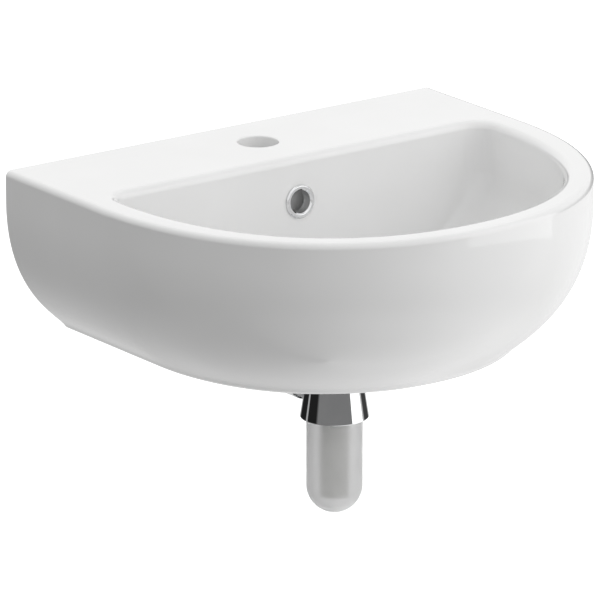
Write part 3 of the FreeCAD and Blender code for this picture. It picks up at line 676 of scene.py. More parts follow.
class Workshop:
    """Makes turned and threaded forms with shared node trees, and hands pieces to the frame."""

    def __init__(self) -> None:
        """Builds the finishes and the trees."""
        self.clay = CLAY.material()
        self.finishes = {slot: finish.material() for slot, finish in FINISHES.items()}
        self.lathe = lathe_tree()
        self.thread = thread_tree()

    def run(self, shape: Shape, tree: bpy.types.NodeTree, values: dict[str, object], place: Place,
            along_y: bool) -> Shape:
        """Runs a tree once on an object, keeps the mesh it makes and moves it into place.

        Args:
            shape: the object that carries the tree.
            tree: the Geometry Nodes tree.
            values: input name with its value.
            place: where the form's Z axis starts.
            along_y: lays the form's axis along +Y.

        Returns:
            The object.
        """
        modifier = shape.modifiers.new("form", "NODES")
        modifier.node_group = tree
        sockets = {item.name: item.identifier for item in tree.interface.items_tree if item.in_out == "INPUT"}
        for name, value in values.items():
            modifier[sockets[name]] = value
        settle(shape)
        turn = Matrix.Rotation(-QUARTER if along_y else 0.0, 4, "X")
        shape.data.transform(Matrix.Translation(place) @ turn)
        return shape

    def turned(self, name: str, profile: Sequence[Point], slot: Slot, place: Place = (0, 0, 0),
               along_y: bool = False, steps: int = 128, grips: Optional[Grips] = None,
               closed: bool = True) -> Shape:
        """Turns a profile about an axis.

        Args:
            name: the object's name.
            profile: (radius, height) points; heights run along the axis.
            slot: its finish.
            place: where the axis starts.
            along_y: turns about the wall's normal, and not about the Z axis.
            steps: faces round the axis.
            grips: flutes in the outside.
            closed: joins the last point to the first.

        Returns:
            The mesh object.
        """
        row = list(profile) + ([profile[0]] if closed else [])
        shape = mesh_object(name, [(r, 0, h) for r, h in row], [])
        values: dict[str, object] = {"Steps": steps, "Finish": self.finishes[slot]}
        if grips:
            values.update({"Grip Count": grips.count, "Grip Depth": grips.depth, "Grip Radius": grips.radius,
                           "Grip Low": grips.low, "Grip High": grips.high})
        self.run(shape, self.lathe, values, place, along_y)
        outward(shape)
        return shape

    def threaded(self, name: str, radius: float, crest: float, length: float, pitch: float, slot: Slot,
                 place: Place, along_y: bool = False) -> Shape:
        """A thread's ridge round a core.

        Args:
            name: the object's name.
            radius: radius of the core.
            crest: height of the ridge above it.
            length: length of the thread.
            pitch: rise in one turn.
            slot: its finish.
            place: where the thread starts.
            along_y: runs it along +Y, and not along +Z.

        Returns:
            The mesh object.
        """
        values = {"Turns": length / pitch, "Root Radius": radius, "Length": length, "Crest": crest,
                  "Finish": self.finishes[slot]}
        return self.run(mesh_object(name, [(0, 0, 0)], []), self.thread, values, place, along_y)

    def deliver(self, shape: Shape, body: str, node: str, angle: float = 40.0) -> None:
        """Shades a finished piece and puts it on its body in place of its CAD node.

        Args:
            shape: the piece.
            body: the body it rides on.
            node: the CAD node it replaces.
            angle: edges that turn more degrees stay sharp; 0 leaves the shading as it is.
        """
        if angle:
            smooth(shape, angle)
        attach(shape, body)
        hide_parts(node)
        LOG.info("%s: %d faces on %s", shape.name, len(shape.data.polygons), body)

    def chrome(self, name: str, profile: Sequence[Point], body: str, node: str, **turning: object) -> None:
        """Turns and delivers a piece of polished chrome; turning is passed on to turned."""
        self.deliver(self.turned(name, profile, Slot.CHROME, **turning), body, node)


# ------------------------------------------------------------------ ceramic


@dataclass
class CeramicBody:
    """The basin: one casting with a D shaped plan, a deep bowl and an open back."""

    half: float = 225 * MM
    side_run: float = 134 * MM
    front_run: float = 244 * MM
    fullness: float = 0.59
    height: float = 151.5 * MM
    rim_round: float = 5.5 * MM
    wall_top: float = 27 * MM
    wall_pull: float = 108 * MM
    foot_tuck: float = 59 * MM
    foot_slope: float = math.radians(53)
    foot_pull: float = 14.5 * MM
    foot_round: float = 11 * MM
    foot_lip: float = 15 * MM
    lip_round: float = 2 * MM
    front_tuck: float = 1.10
    skin: float = 9 * MM
    deck: float = 12 * MM
    edge: float = 1.0 * MM
    bowl_half: float = 204 * MM
    bowl_front: float = 360 * MM
    bowl_fullness: float = 0.615
    bowl_back: float = 104 * MM
    bowl_corner: float = 27.5 * MM
    floor_corner: float = 8 * MM
    bowl_round: float = 7.4 * MM
    draft: float = math.radians(4.5)
    depth: float = 110 * MM
    bend: float = 42 * MM
    wall: float = 10 * MM
    floor_half: float = 62 * MM
    floor_back: float = 30 * MM
    floor_front: float = 52 * MM
    bend_power: float = 2.3
    tap_radius: float = 17.5 * MM
    tap_back: float = 53.2 * MM
    tap_round: float = 1.2 * MM
    tap_boss: float = 31 * MM
    tap_boss_deep: float = 18 * MM
    waste_back: float = 163.7 * MM
    waste_radius: float = 23 * MM
    recess_radius: float = 32.5 * MM
    recess_deep: float = 5 * MM
    recess_round: float = 1.5 * MM
    boss_radius: float = 37 * MM
    boss_deep: float = 26 * MM
    fix_half: float = 140 * MM
    fix_radius: float = 10.5 * MM
    ear_inner: float = 92 * MM
    ear_thick: float = 14 * MM
    ear_deep: float = 128 * MM
    rib_thick: float = 8 * MM
    rib_top: float = 70 * MM
    rib_deep: float = 134 * MM
    overflow_deep: float = 39 * MM
    overflow_radius: float = 12.1 * MM
    channel_half: float = 19 * MM
    channel_gap: float = 9 * MM
    channel_wall: float = 7 * MM
    channel_drop: float = 19 * MM
    form_round: float = 3 * MM
    way_round: float = 2 * MM
    past: float = 2 * MM  # how far a cut reaches past a face
    clear: float = 3 * MM  # how far a cut reaches past a boss or the foot
    overlap: float = 4 * MM  # how far the casing reaches into the bowl's wall
    over: float = 5 * MM  # how far ears and ribs reach past the outside
    ear_past: float = 6 * MM
    fix_past: float = 8 * MM
    hair: float = 0.05 * MM  # keeps the faces of two tools apart
    crease: float = 38.0
    bowl_steps: tuple[int, int, int] = (12, 4, 30)  # in its edge, its wall and its bend
    quarter_steps: int = 60
    corner_steps: int = 8
    side_steps: int = 8
    back_steps: int = 28
    glaze: int = 0
    clay: int = 1

    def loop(self, half: float, back: float, straight: float, front: float, corner: float, height: float,
             fullness: float) -> list[Place]:
        """Closed D in plan: round front, straight sides, two back corners, straight back.

        Args:
            half: half width.
            back: y of the back.
            straight: y where the straight sides end.
            front: y of the front.
            corner: round of the back corners.
            height: its level.
            fullness: fullness of the round front.

        Returns:
            The loop's points, always the same number.
        """
        reach = straight + (front - straight) * fullness
        poles = [(half, straight), (half, reach), (half * fullness, front), (0.0, front)]
        quarter = [bezier(poles, i / self.quarter_steps)[0] for i in range(self.quarter_steps + 1)]
        side = [(half, back - corner + (straight - back + corner) * i / self.side_steps)
                for i in range(self.side_steps)]
        turn = [(half - corner + corner * math.sin(a), back - corner + corner * math.cos(a))
                for a in (QUARTER * i / self.corner_steps for i in range(self.corner_steps))]
        line = [((corner - half) * (1 - 2 * i / self.back_steps), back) for i in range(1, self.back_steps)]
        right = turn + side + quarter
        left = [(-x, y) for x, y in reversed(right)]
        return [(x, y, height) for x, y in right + left[1:] + line]

    def side_profile(self, fine: int = 4) -> list[tuple[float, float, float, float]]:
        """Follows the outside from the rim down to the foot.

        Args:
            fine: how finely it is cut up.

        Returns:
            Points as (inset, depth, normal inset, normal depth).
        """
        rim, foot, slope = self.rim_round, self.foot_round, self.foot_slope
        points = []
        for turn in (QUARTER * (1 - i / (2 * fine)) for i in range(2 * fine + 1)):
            across, down = math.cos(turn), math.sin(turn)
            points.append((rim * (1 - across), rim * (1 - down), across, down))
        end = self.height - foot * (1 - math.cos(slope))
        pull = (self.foot_tuck - self.foot_pull * math.cos(slope), end - self.foot_pull * math.sin(slope))
        poles = [(0.0, self.wall_top), (0.0, self.wall_pull), pull, (self.foot_tuck, end)]
        for i in range(7 * fine + 1):
            place, (run, fall) = bezier(poles, i / (7 * fine))
            length = math.hypot(run, fall)
            points.append((*place, fall / length, -run / length))
        for turn in (slope * (1 - i / (2 * fine)) for i in range(1, 2 * fine + 1)):
            points.append((self.foot_tuck + foot * (math.sin(slope) - math.sin(turn)),
                           self.height - foot * (1 - math.cos(turn)), math.sin(turn), -math.cos(turn)))
        return points

    def outer(self, inset: float, depth: float, back: float = 0.0) -> list[Place]:
        """Level loop of the outside at an inset and a depth, with its back at y = back."""
        front = -(self.side_run + self.front_run - self.front_tuck * inset)
        return self.loop(self.half - inset, back, -self.side_run, front, self.edge, at(depth), self.fullness)

    def bowl_inset(self, depth: float, run: float) -> float:
        """Gives how far a bowl wall has come in.

        Args:
            depth: the level below the rim.
            run: the wall's level travel in the bend.

        Returns:
            The distance from the bowl's edge.
        """
        if depth <= self.bowl_round:
            return math.sqrt(max(0.0, self.bowl_round ** 2 - (self.bowl_round - depth) ** 2))
        inset = self.bowl_round + (depth - self.bowl_round) * math.tan(self.draft)
        if depth > self.bend:
            share = min(1.0, (depth - self.bend) / (self.depth - self.bend))
            inset += run * (1 - (1 - share ** self.bend_power) ** (1 / self.bend_power))
        return inset

    def bowl(self, depth: float, wall: float = 0.0) -> list[Place]:
        """Level loop of the bowl.

        Args:
            depth: its level below the rim.
            wall: thickness that is added, for the bowl's outside.

        Returns:
            The loop's points.
        """
        full = self.bowl_round + (self.depth - self.bowl_round) * math.tan(self.draft)
        side = self.bowl_inset(depth, self.bowl_half - full - self.floor_half)
        front = self.bowl_inset(depth, self.bowl_front - full - self.waste_back - self.floor_front)
        back = self.bowl_inset(depth, self.waste_back - self.floor_back - self.bowl_back - full)
        share = min(1.0, max(0.0, (depth - self.bend) / (self.depth - self.bend)))
        straight = -self.side_run - share * (self.waste_back - self.side_run)
        y_back = -(self.bowl_back + back)
        corner = self.bowl_corner - min(back, self.bowl_round) + share * self.floor_corner
        corner = min(corner, y_back - straight - 0.5 * MM)
        return self.loop(self.bowl_half - side + wall, y_back + wall, straight,
                         front - self.bowl_front - wall, corner + wall, at(depth + wall * share),
                         self.bowl_fullness)

    def bowl_depths(self) -> list[float]:
        """Spreads loops down the bowl: its round edge, its wall and its bend.

        Returns:
            Their depths below the rim.
        """
        edge, sides, turns = self.bowl_steps
        rim = [self.bowl_round * (1 - math.cos(QUARTER * i / edge)) for i in range(edge + 1)]
        wall = [self.bowl_round + (self.bend - self.bowl_round) * i / sides for i in range(1, sides)]
        bend = [self.bend + (self.depth - self.bend) * math.sin(QUARTER * i / turns)
                for i in range(turns + 1)]
        return rim + wall + bend

    def wall_back(self) -> float:
        """Distance from the wall to the bowl's back face where its bend starts."""
        return self.bowl_back + self.bowl_inset(self.bend, 0.0)

    def shell(self) -> Shape:
        """Outside, deck and bowl as one closed solid."""
        outside = [self.outer(inset, depth) for inset, depth, _, _ in reversed(self.side_profile())]
        return stack("ceramic_body", outside + [self.bowl(depth) for depth in self.bowl_depths()], self.glaze)

    def cavity(self) -> Shape:
        """Makes the space within the skin that is open behind and below, less what stands in it.

        Returns:
            The space, as a closed form to cut with.
        """
        levels = [(self.skin, self.deck)]
        levels += [(inset + self.skin * across, depth + self.skin * down)
                   for inset, depth, across, down in self.side_profile(3) if depth >= self.wall_top - 1e-9]
        lip, soft = self.side_profile()[-1][0] + self.foot_lip, self.lip_round
        levels.append((lip, levels[-1][1] + 0.01 * MM))
        levels += [(lip - soft * (1 - math.cos(turn)), self.height - soft * (1 - math.sin(turn)))
                   for turn in (QUARTER * i / 5 for i in range(6))]
        levels.append((lip - soft, self.height + self.clear))
        space = stack("cavity", [self.outer(*level, self.past) for level in reversed(levels)], self.clay)
        return combine(space, self.inner_forms(), "DIFFERENCE")

    def inner_forms(self) -> list[Shape]:
        """Makes bowl, bosses, overflow casing, ears and ribs that stand in the cavity.

        Returns:
            The closed forms.
        """
        levels = [self.bowl_round / 2] + [d for d in self.bowl_depths() if d >= self.bowl_round - 1e-9]
        floor, half = at(self.depth + self.boss_deep), self.channel_half + self.channel_wall
        front = -self.wall_back()
        back = front + self.wall + self.channel_gap + self.channel_wall
        forms = [
            stack("bowl_back", [self.bowl(d, self.wall) for d in reversed(levels)], self.clay),
            self.cylinder("tap_boss", self.tap_boss, at(self.tap_boss_deep), at(self.past), -self.tap_back),
            self.cylinder("waste_boss", self.boss_radius, floor, at(self.depth), -self.waste_back),
            block("casing_up", (-half, front - self.overlap, floor),
                  (half, back, at(self.overflow_deep - 2 * self.overflow_radius)), self.form_round,
                  self.clay),
            block("casing_under", (-half, -self.waste_back, floor + 2 * self.hair),
                  (half, back - 2 * self.hair, at(self.depth)), self.form_round, self.clay)]
        thick = self.rib_thick / 2
        for side in (-1, 1):
            far = side * (self.half + self.over)
            near, end = sorted((side * self.ear_inner, far))
            forms.append(block("ear", (near, -self.ear_thick, at(self.ear_deep)),
                               (end, self.ear_past, at(self.deck / 2)), self.form_round, self.clay))
            near, end = sorted((side * self.floor_half, far))
            forms.append(block("rib", (near, -self.side_run - thick, at(self.rib_deep)),
                               (end, -self.side_run + thick, at(self.rib_top)), self.way_round,
                               self.clay))
        return forms

    def cylinder(self, name: str, radius: float, low: float, high: float, y: float) -> Shape:
        """An upright cylinder of bare clay."""
        return turned_solid(name, [(radius, low), (radius, high)], y, self.clay)

    def round_hole(self, name: str, radius: float, low: float, soft: float, top: float, y: float,
                   steps: int) -> Shape:
        """A glazed hole from above, with a round upper edge.

        Args:
            name: the tool's name.
            radius: the hole's radius.
            low: height of its lower end.
            soft: round of its edge.
            top: height of the face that it opens into.
            y: place of its axis.
            steps: steps in its round edge.

        Returns:
            The closed form to cut with.
        """
        edge = arc((radius + soft, top - soft), soft, 180, 100, steps)
        return turned_solid(name, [(radius, low)] + edge + [(edge[-1][0], top + self.past)], y, self.glaze)

    def holes(self) -> list[Shape]:
        """Makes tap, waste, overflow and fixing holes and the overflow's water way.

        Returns:
            The closed forms to cut with.
        """
        floor, low = at(self.depth), at(self.depth + self.channel_drop)
        half, front = self.channel_half, self.wall - self.wall_back()
        back = front + self.channel_gap
        tools = [
            self.round_hole("tap_hole", self.tap_radius, at(self.tap_boss_deep + self.clear),
                            self.tap_round, RIM, -self.tap_back, 7),
            self.round_hole("waste_recess", self.recess_radius, floor - self.recess_deep,
                            self.recess_round, floor, -self.waste_back, 6),
            turned_solid("waste_hole", [(self.waste_radius, at(self.height)),
                                        (self.waste_radius, floor - 1 * MM)], -self.waste_back, self.glaze),
            block("way_down", (-half, front, low),
                  (half, back, at(self.overflow_deep - self.overflow_radius)), self.way_round, self.clay),
            block("way_under", (-half, -self.waste_back, low + self.hair),
                  (half, back - self.hair, low + self.channel_gap), self.way_round, self.clay),
            turned_solid("overflow", [(self.overflow_radius, -self.wall - self.channel_gap / 2),
                                      (self.overflow_radius, self.wall)], 0.0, self.glaze)]
        tools[-1].data.transform(self.overflow_frame())
        for side in (-1, 1):
            tool = self.cylinder("fixing", self.fix_radius, -self.fix_past,
                                 self.ear_thick + self.overlap, 0.0)
            place = Matrix.Translation((side * self.fix_half, 0, 0))
            tool.data.transform(place @ Matrix.Rotation(QUARTER, 4, "X"))
            tools.append(tool)
        return tools

    def overflow_frame(self) -> Matrix:
        """Frame at the overflow whose Z axis points out of the bowl's back wall."""
        place = (0, -self.bowl_back - self.bowl_inset(self.overflow_deep, 0.0), at(self.overflow_deep))
        return Matrix.Translation(place) @ Matrix.Rotation(QUARTER - self.draft, 4, "X")

    def build(self, shop: Workshop) -> None:
        """Makes the casting and puts it in place of its CAD node.

        Args:
            shop: the workshop.
        """
        body = self.shell()
        combine(body, [self.cavity()], "DIFFERENCE")
        combine(body, self.holes(), "DIFFERENCE")
        for polygon in body.data.polygons:
            if polygon.center.y > -self.hair:
                polygon.material_index = self.clay
        body.data.materials.clear()
        body.data.materials.append(shop.finishes[Slot.CERAMIC])
        body.data.materials.append(shop.clay)
        shop.deliver(body, "basin", "basin_body", self.crease)


# ------------------------------------------------------------------ overflow, waste and plug


@dataclass
class OverflowRing:
    """Polished ring with a rounded face, pressed into the overflow hole."""

    outer: float = 14.75 * MM
    inner: float = 10.0 * MM
    tail: float = 12.04 * MM
    proud: float = 2.2 * MM
    length: float = 8.0 * MM
    seat: float = 0.3 * MM

    def build(self, shop: Workshop, body: CeramicBody) -> None:
        """Turns the ring and sets it in the bowl's back wall.

        Args:
            shop: the workshop.
            body: the ceramic that holds it.
        """
        low, crown = 0.45 * self.proud, 0.6 * self.proud
        face = [(self.inner, -self.length), (self.tail, -self.length), (self.tail, self.seat),
                (self.outer, self.seat, CRISP), (self.outer, low, SOFT),
                (self.outer - crown, self.proud, 0.9 * MM), (self.inner + crown, self.proud, 0.9 * MM),
                (self.inner, low, SOFT)]
        ring = shop.turned("overflow_trim", rounded(face), Slot.CHROME)
        ring.data.transform(body.overflow_frame())
        shop.deliver(ring, "basin", "overflow_ring")


@dataclass
class Waste:
    """Slotted waste with its dished flange and three spoke spider, and the back nut below."""

    edge: float = 31.5 * MM
    flange: float = 2.5 * MM
    tail: float = 20.95 * MM
    bore: float = 18.0 * MM
    seat_run: float = 6.5 * MM
    seat_fall: float = 3.2 * MM
    crest: float = 0.42 * MM
    pitch: float = 2.3 * MM
    slot_wide: float = 13.0 * MM
    slot_high: float = 9.0 * MM
    slot_low: float = 128.7 * MM
    slots: int = 4
    spider: float = 130.0 * MM
    spider_high: float = 6.0 * MM
    spoke: float = 3.2 * MM
    spokes: int = 3
    hub: float = 9.5 * MM
    hub_bore: float = 6.5 * MM
    edge_round: float = 1.0 * MM
    slot_round: float = 2.5 * MM
    thread_gap: float = 6 * MM  # between thread and slots
    thread_lead: float = 0.6 * MM
    thread_ends: float = 1.5 * MM
    sunk: float = 0.05 * MM  # how deep the thread's ridge starts in its core
    thread_crease: float = 60.0
    spoke_ends: tuple[float, float] = (1.2 * MM, 0.6 * MM)  # in the hub and in the tail
    nut_flats: float = 54.0 * MM
    nut_chamfer: float = 1.2 * MM
    nut_bearing: float = 2.0 * MM

    def build(self, shop: Workshop, y: float) -> None:
        """Makes the waste and its back nut.

        Args:
            shop: the workshop.
            y: place of the waste's axis.
        """
        low, high = extent("waste_body")
        root = self.tail - self.crest
        top, under = high.z, high.z - self.flange
        thread_top = at(self.slot_low) - self.thread_gap
        profile = [(self.bore, low.z), (root, low.z), (root, thread_top, FINE),
                   (self.tail, thread_top + self.thread_lead, FINE), (self.tail, under, FINE),
                   (self.edge, under, FINE), (self.edge, top, self.edge_round),
                   (self.bore + self.seat_run, top, SOFT), (self.bore, top - self.seat_fall, FULL)]
        body = shop.turned("waste_flange_and_tail", rounded(profile, 5), Slot.CHROME, (0, y, 0))
        floor = at(self.slot_low)
        combine(body, self.around("slot", (0, -self.slot_wide / 2, floor),
                                  (self.tail * 1.3, self.slot_wide / 2, floor + self.slot_high),
                                  self.slot_round, self.slots, QUARTER / 2, y), "DIFFERENCE")
        combine(body, self.inside(y), "UNION")
        smooth(body, CREASE)
        thread = shop.threaded("tail_thread", root - self.sunk, self.crest,
                               thread_top - low.z - 2 * self.thread_ends, self.pitch, Slot.CHROME,
                               (0, y, low.z + self.thread_ends))
        smooth(thread, self.thread_crease)
        shop.deliver(joined([body, thread], "waste_flange_and_tail"), "basin", "waste_body", 0.0)
        low, high = extent("waste_back_nut")
        nut = hexagon_nut("waste_locknut", self.nut_flats / 2, high.z - low.z, self.tail + FIT,
                          self.nut_chamfer, self.nut_bearing)
        nut.data.transform(Matrix.Translation((0, y, low.z)))
        nut.data.materials.append(shop.finishes[Slot.BRASS])
        shop.deliver(nut, "basin", "waste_back_nut", NUT_CREASE)

    def inside(self, y: float) -> list[Shape]:
        """Makes hub and spokes across the tail's bore.

        Args:
            y: place of the waste's axis.

        Returns:
            The closed forms.
        """
        low, high = at(self.spider + self.spider_high), at(self.spider)
        ring = rounded([(self.hub_bore, low), (self.hub, low, EASED), (self.hub, high, EASED),
                        (self.hub_bore, high)], 3)
        hub = turned_solid("hub", ring, y, steps=64, ring=True)
        return [hub] + self.around(
            "spoke", (self.hub - self.spoke_ends[0], -self.spoke / 2, low + FINE),
            (self.bore + self.spoke_ends[1], self.spoke / 2, high - FINE), EASED, self.spokes, QUARTER, y)

    @staticmethod
    def around(name: str, low: Place, high: Place, soften: float, count: int, start: float,
               y: float) -> list[Shape]:
        """Makes equal blocks spread round the waste's axis.

        Args:
            name: their name.
            low: lowest corner of a block that points along X.
            high: its highest corner.
            soften: round of its edges.
            count: how many.
            start: direction of the first, in radians.
            y: place of the axis.

        Returns:
            The blocks.
        """
        blocks = [block(name, low, high, soften) for _ in range(count)]
        for i, piece in enumerate(blocks):
            turn = Matrix.Rotation(start + 2 * math.pi * i / count, 4, "Z")
            piece.data.transform(Matrix.Translation((0, y, 0)) @ turn)
        return blocks


def hexagon_nut(name: str, flat: float, height: float, bore: float, chamfer: float,
                bearing: float = 0.0) -> Shape:
    """Hexagon nut on the Z axis from z = 0, with chamfered corners.

    Args:
        name: the object's name.
        flat: centre to each flat.
        height: its height.
        bore: radius of the hole.
        chamfer: how far the chamfer cuts into the corners.
        bearing: height of a round face at the top, or 0 for a second chamfer.

    Returns:
        The mesh object.
    """
    corner, lead = 2 * flat / math.sqrt(3), SOFT
    past, slope = corner + 0.02 * MM, chamfer * 0.8
    nut = turned_solid(name, [(corner, 0.0), (corner, height)], steps=6)
    limit = [(corner - chamfer, 0.0), (past, slope)]
    limit += [(past, height)] if bearing else [(past, height - slope), (corner - chamfer, height)]
    combine(nut, [turned_solid("tool", limit)], "INTERSECT")
    if bearing:
        face = corner - 0.05 * MM
        combine(nut, [turned_solid("tool", [(face, height - bearing), (face, height)])], "UNION")
    hole = [(bore + lead, -1 * MM), (bore + lead, 0.0), (bore, lead), (bore, height - lead),
            (bore + lead, height), (bore + lead, height + 1 * MM)]
    return combine(nut, [turned_solid("tool", hole)], "DIFFERENCE")


@dataclass
class Plug:
    """Domed push plug."""

    radius: float = 29.0 * MM
    edge: float = 1.6 * MM
    crown: float = 5.0 * MM
    socket: float = 7.5 * MM
    socket_deep: float = 3.2 * MM
    stem: float = 3.0 * MM

    def build(self, shop: Workshop, y: float) -> None:
        """Turns the cap.

        Args:
            shop: the workshop.
            y: place of the waste's axis.
        """
        low, high = extent("plug_cap")
        under = low.z + self.socket_deep
        ball = (self.radius ** 2 + self.crown ** 2) / (2 * self.crown)
        reach = math.degrees(math.asin(self.radius / ball))
        dome = arc((0.0, high.z - ball), ball, 90.0 - reach * 0.985, 90.0, 26)
        under_side = rounded([(0, under), (self.stem, under), (self.stem, low.z, FINE),
                              (self.socket, low.z, EASED), (self.socket, under, FULL),
                              (self.radius, under, SOFT),
                              (self.radius, under + self.edge, SOFT), dome[0]])
        shop.chrome("plug_dome", under_side[:-1] + dome, "plug", "plug_cap", place=(0, y, 0), closed=False)


# ------------------------------------------------------------------ bottle trap and pipe


@dataclass
class BottleTrap:
    """Chrome cone with its side branch, hand nuts, and the frosted cup below."""

    lip: float = 29.7 * MM
    top: float = 21.9 * MM
    cone: float = 49.7 * MM
    neck: float = 17.0 * MM
    collar: float = 20.4 * MM
    collar_thick: float = 2.5 * MM
    skirt: float = 24.5 * MM
    skirt_high: float = 10.5 * MM
    chamber: float = 20.0 * MM
    roof: float = 4.0 * MM
    tube: float = 12.56 * MM
    branch: float = 19.5 * MM
    shoulder: float = 21.0 * MM
    branch_long: float = 52.0 * MM
    nut_long: float = 25.0 * MM
    outlet_drop: float = 22.5 * MM
    pipe: float = 16.0 * MM
    cup: float = 24.1 * MM
    cup_wall: float = 2.4 * MM
    cup_collar: float = 24.2 * MM
    cup_step: float = 0.4 * MM
    cup_rise: float = 0.1 * MM
    branch_root: float = 1.0 * MM
    branch_step: float = 0.6 * MM
    branch_face: float = 0.5 * MM
    bore_past: float = 3 * MM
    round_steps: tuple[int, int] = (40, 36)  # outside and inside of the cup's end
    fine_steps: tuple[int, int, int] = (160, 144, 192)  # round head, cup and inlet nut
    branch_steps: int = 128
    inlet_nut: float = 24.5 * MM
    inlet_bore: float = 21.01 * MM
    inlet_floor: float = 2.95 * MM
    inlet_rows: tuple[float, ...] = (0.18, 0.2, 0.24, 0.76, 0.8, 0.82)  # shares of its height
    flutes: tuple[float, float] = (12.0, 0.7 * MM)
    flute_rows: tuple[float, float] = (0.19, 0.81)
    nut_round: float = 1.3 * MM
    nut_play: float = 0.3 * MM
    outlet_nut: float = 22.0 * MM
    outlet_floor: float = 7.0 * MM
    nose_long: float = 4.0 * MM
    nose_fall: float = 2.5 * MM

    def build(self, shop: Workshop, y: float) -> None:
        """Makes head, cup and both hand nuts.

        Args:
            shop: the workshop.
            y: place of the trap's axis.
        """
        self.head(shop, y)
        self.bottle(shop, y)
        self.inlet(shop, y)
        self.outlet(shop)

    def head(self, shop: Workshop, y: float) -> None:
        """Makes cone, neck and branch as one piece.

        Args:
            shop: the workshop.
            y: place of the trap's axis.
        """
        low, high = extent("trap_head")
        lip, crown = low.z, low.z + self.cone
        roof, skirt, collar = crown - self.roof, lip + self.skirt_high, high.z - self.collar_thick
        profile = rounded([
            (self.tube, (crown + high.z) / 2), (self.tube, roof, FINE), (self.chamber, roof, 1.5 * MM),
            (self.chamber, skirt, EASED), (self.skirt, skirt, EASED), (self.skirt, lip, FINE),
            (self.lip, lip, 0.9 * MM), (self.top, crown, 1.4 * MM), (self.neck, crown, SOFT),
            (self.neck, collar, EASED), (self.collar, collar, FINE), (self.collar, high.z, FINE),
            (self.tube, high.z, FINE), (self.tube, high.z - 2 * MM)])
        head = shop.turned("trap_cone", profile, Slot.CHROME, (0, y, 0),
                           steps=self.fine_steps[0])
        axis, bore, step = crown - self.outlet_drop, self.pipe + FIT, self.branch_long - self.nut_long
        form = rounded([(self.shoulder, self.chamber + self.branch_root), (self.shoulder, step, FULL),
                        (self.branch, step + self.branch_step, CRISP), (self.branch, self.branch_long, SOFT),
                        (self.pipe + self.branch_face, self.branch_long)])
        for name, points, operation in (
                ("branch", form, "UNION"),
                ("bore", [(bore, self.chamber * 0.6), (bore, self.branch_long + self.bore_past)],
                 "DIFFERENCE")):
            loops = [[(x, y + reach, axis + z) for x, z in circle(radius, self.branch_steps)]
                     for radius, reach in points]
            combine(head, [stack(name, loops)], operation)
        shop.deliver(head, "basin", "trap_head", CREASE)

    def bottle(self, shop: Workshop, y: float) -> None:
        """Makes the frosted cup with its round end.

        Args:
            shop: the workshop.
            y: place of the trap's axis.
        """
        low, high = extent("trap_cup")
        centre, inner = low.z + self.cup, self.cup - self.cup_wall
        step = extent("trap_head")[0].z - self.cup_step
        outer = arc((0.0, centre), self.cup, -90.0, 0.0, self.round_steps[0])
        wall = rounded([outer[-1], (self.cup, step, 1.5 * self.cup_rise),
                        (self.cup_collar, step + self.cup_rise, self.cup_rise),
                        (self.cup_collar, high.z, EASED), (inner, high.z, EASED), (inner, centre)])
        hollow = arc((0.0, centre), inner, 0.0, -90.0, self.round_steps[1])
        cup = shop.turned("trap_bottle", outer[:-1] + wall[:-1] + hollow, Slot.FROSTED, (0, y, 0),
                          steps=self.fine_steps[1])
        shop.deliver(cup, "cup", "trap_cup", CREASE)

    def inlet(self, shop: Workshop, y: float) -> None:
        """Makes the hand nut between the waste and the trap, with flutes round it.

        Args:
            shop: the workshop.
            y: place of the trap's axis.
        """
        low, high = extent("trap_inlet_nut")
        neck, seat = self.neck + self.nut_play, low.z + self.inlet_floor
        tall, nut = high.z - low.z, self.inlet_nut
        middle = (low.z + seat) / 2
        profile = rounded(
            [(neck, middle), (neck, low.z, FINE), (nut, low.z, self.nut_round)]
            + [(nut, low.z + share * tall) for share in self.inlet_rows]
            + [(nut, high.z, self.nut_round), (self.inlet_bore, high.z, EASED),
               (self.inlet_bore, seat, CRISP), (neck, seat, CRISP), (neck, middle + SEAM)])
        grips = Grips(*self.flutes, nut - FINE, *(low.z + share * tall for share in self.flute_rows))
        shop.chrome("inlet_hand_nut", profile, "basin", "trap_inlet_nut", place=(0, y, 0),
                    steps=self.fine_steps[2], grips=grips)

    def outlet(self, shop: Workshop) -> None:
        """Makes the round nut that clamps the pipe's seal.

        Args:
            shop: the workshop.
        """
        low, high = extent("trap_outlet_nut")
        inside, nut = high.y - self.outlet_floor, self.outlet_nut
        bore, pipe = self.branch + FIT, self.pipe + self.nut_play
        middle = (low.y + inside) / 2
        profile = rounded([(bore, middle), (bore, low.y, FINE), (nut, low.y, FULL),
                           (nut, high.y - self.nose_long, 1.5 * MM), (nut - self.nose_fall, high.y, FULL),
                           (pipe, high.y, EASED), (pipe, inside, CRISP), (bore, inside, CRISP),
                           (bore, middle + SEAM)])
        shop.chrome("outlet_hand_nut", profile, "basin", "trap_outlet_nut",
                    place=(0, 0, (low.z + high.z) / 2), along_y=True, steps=144)


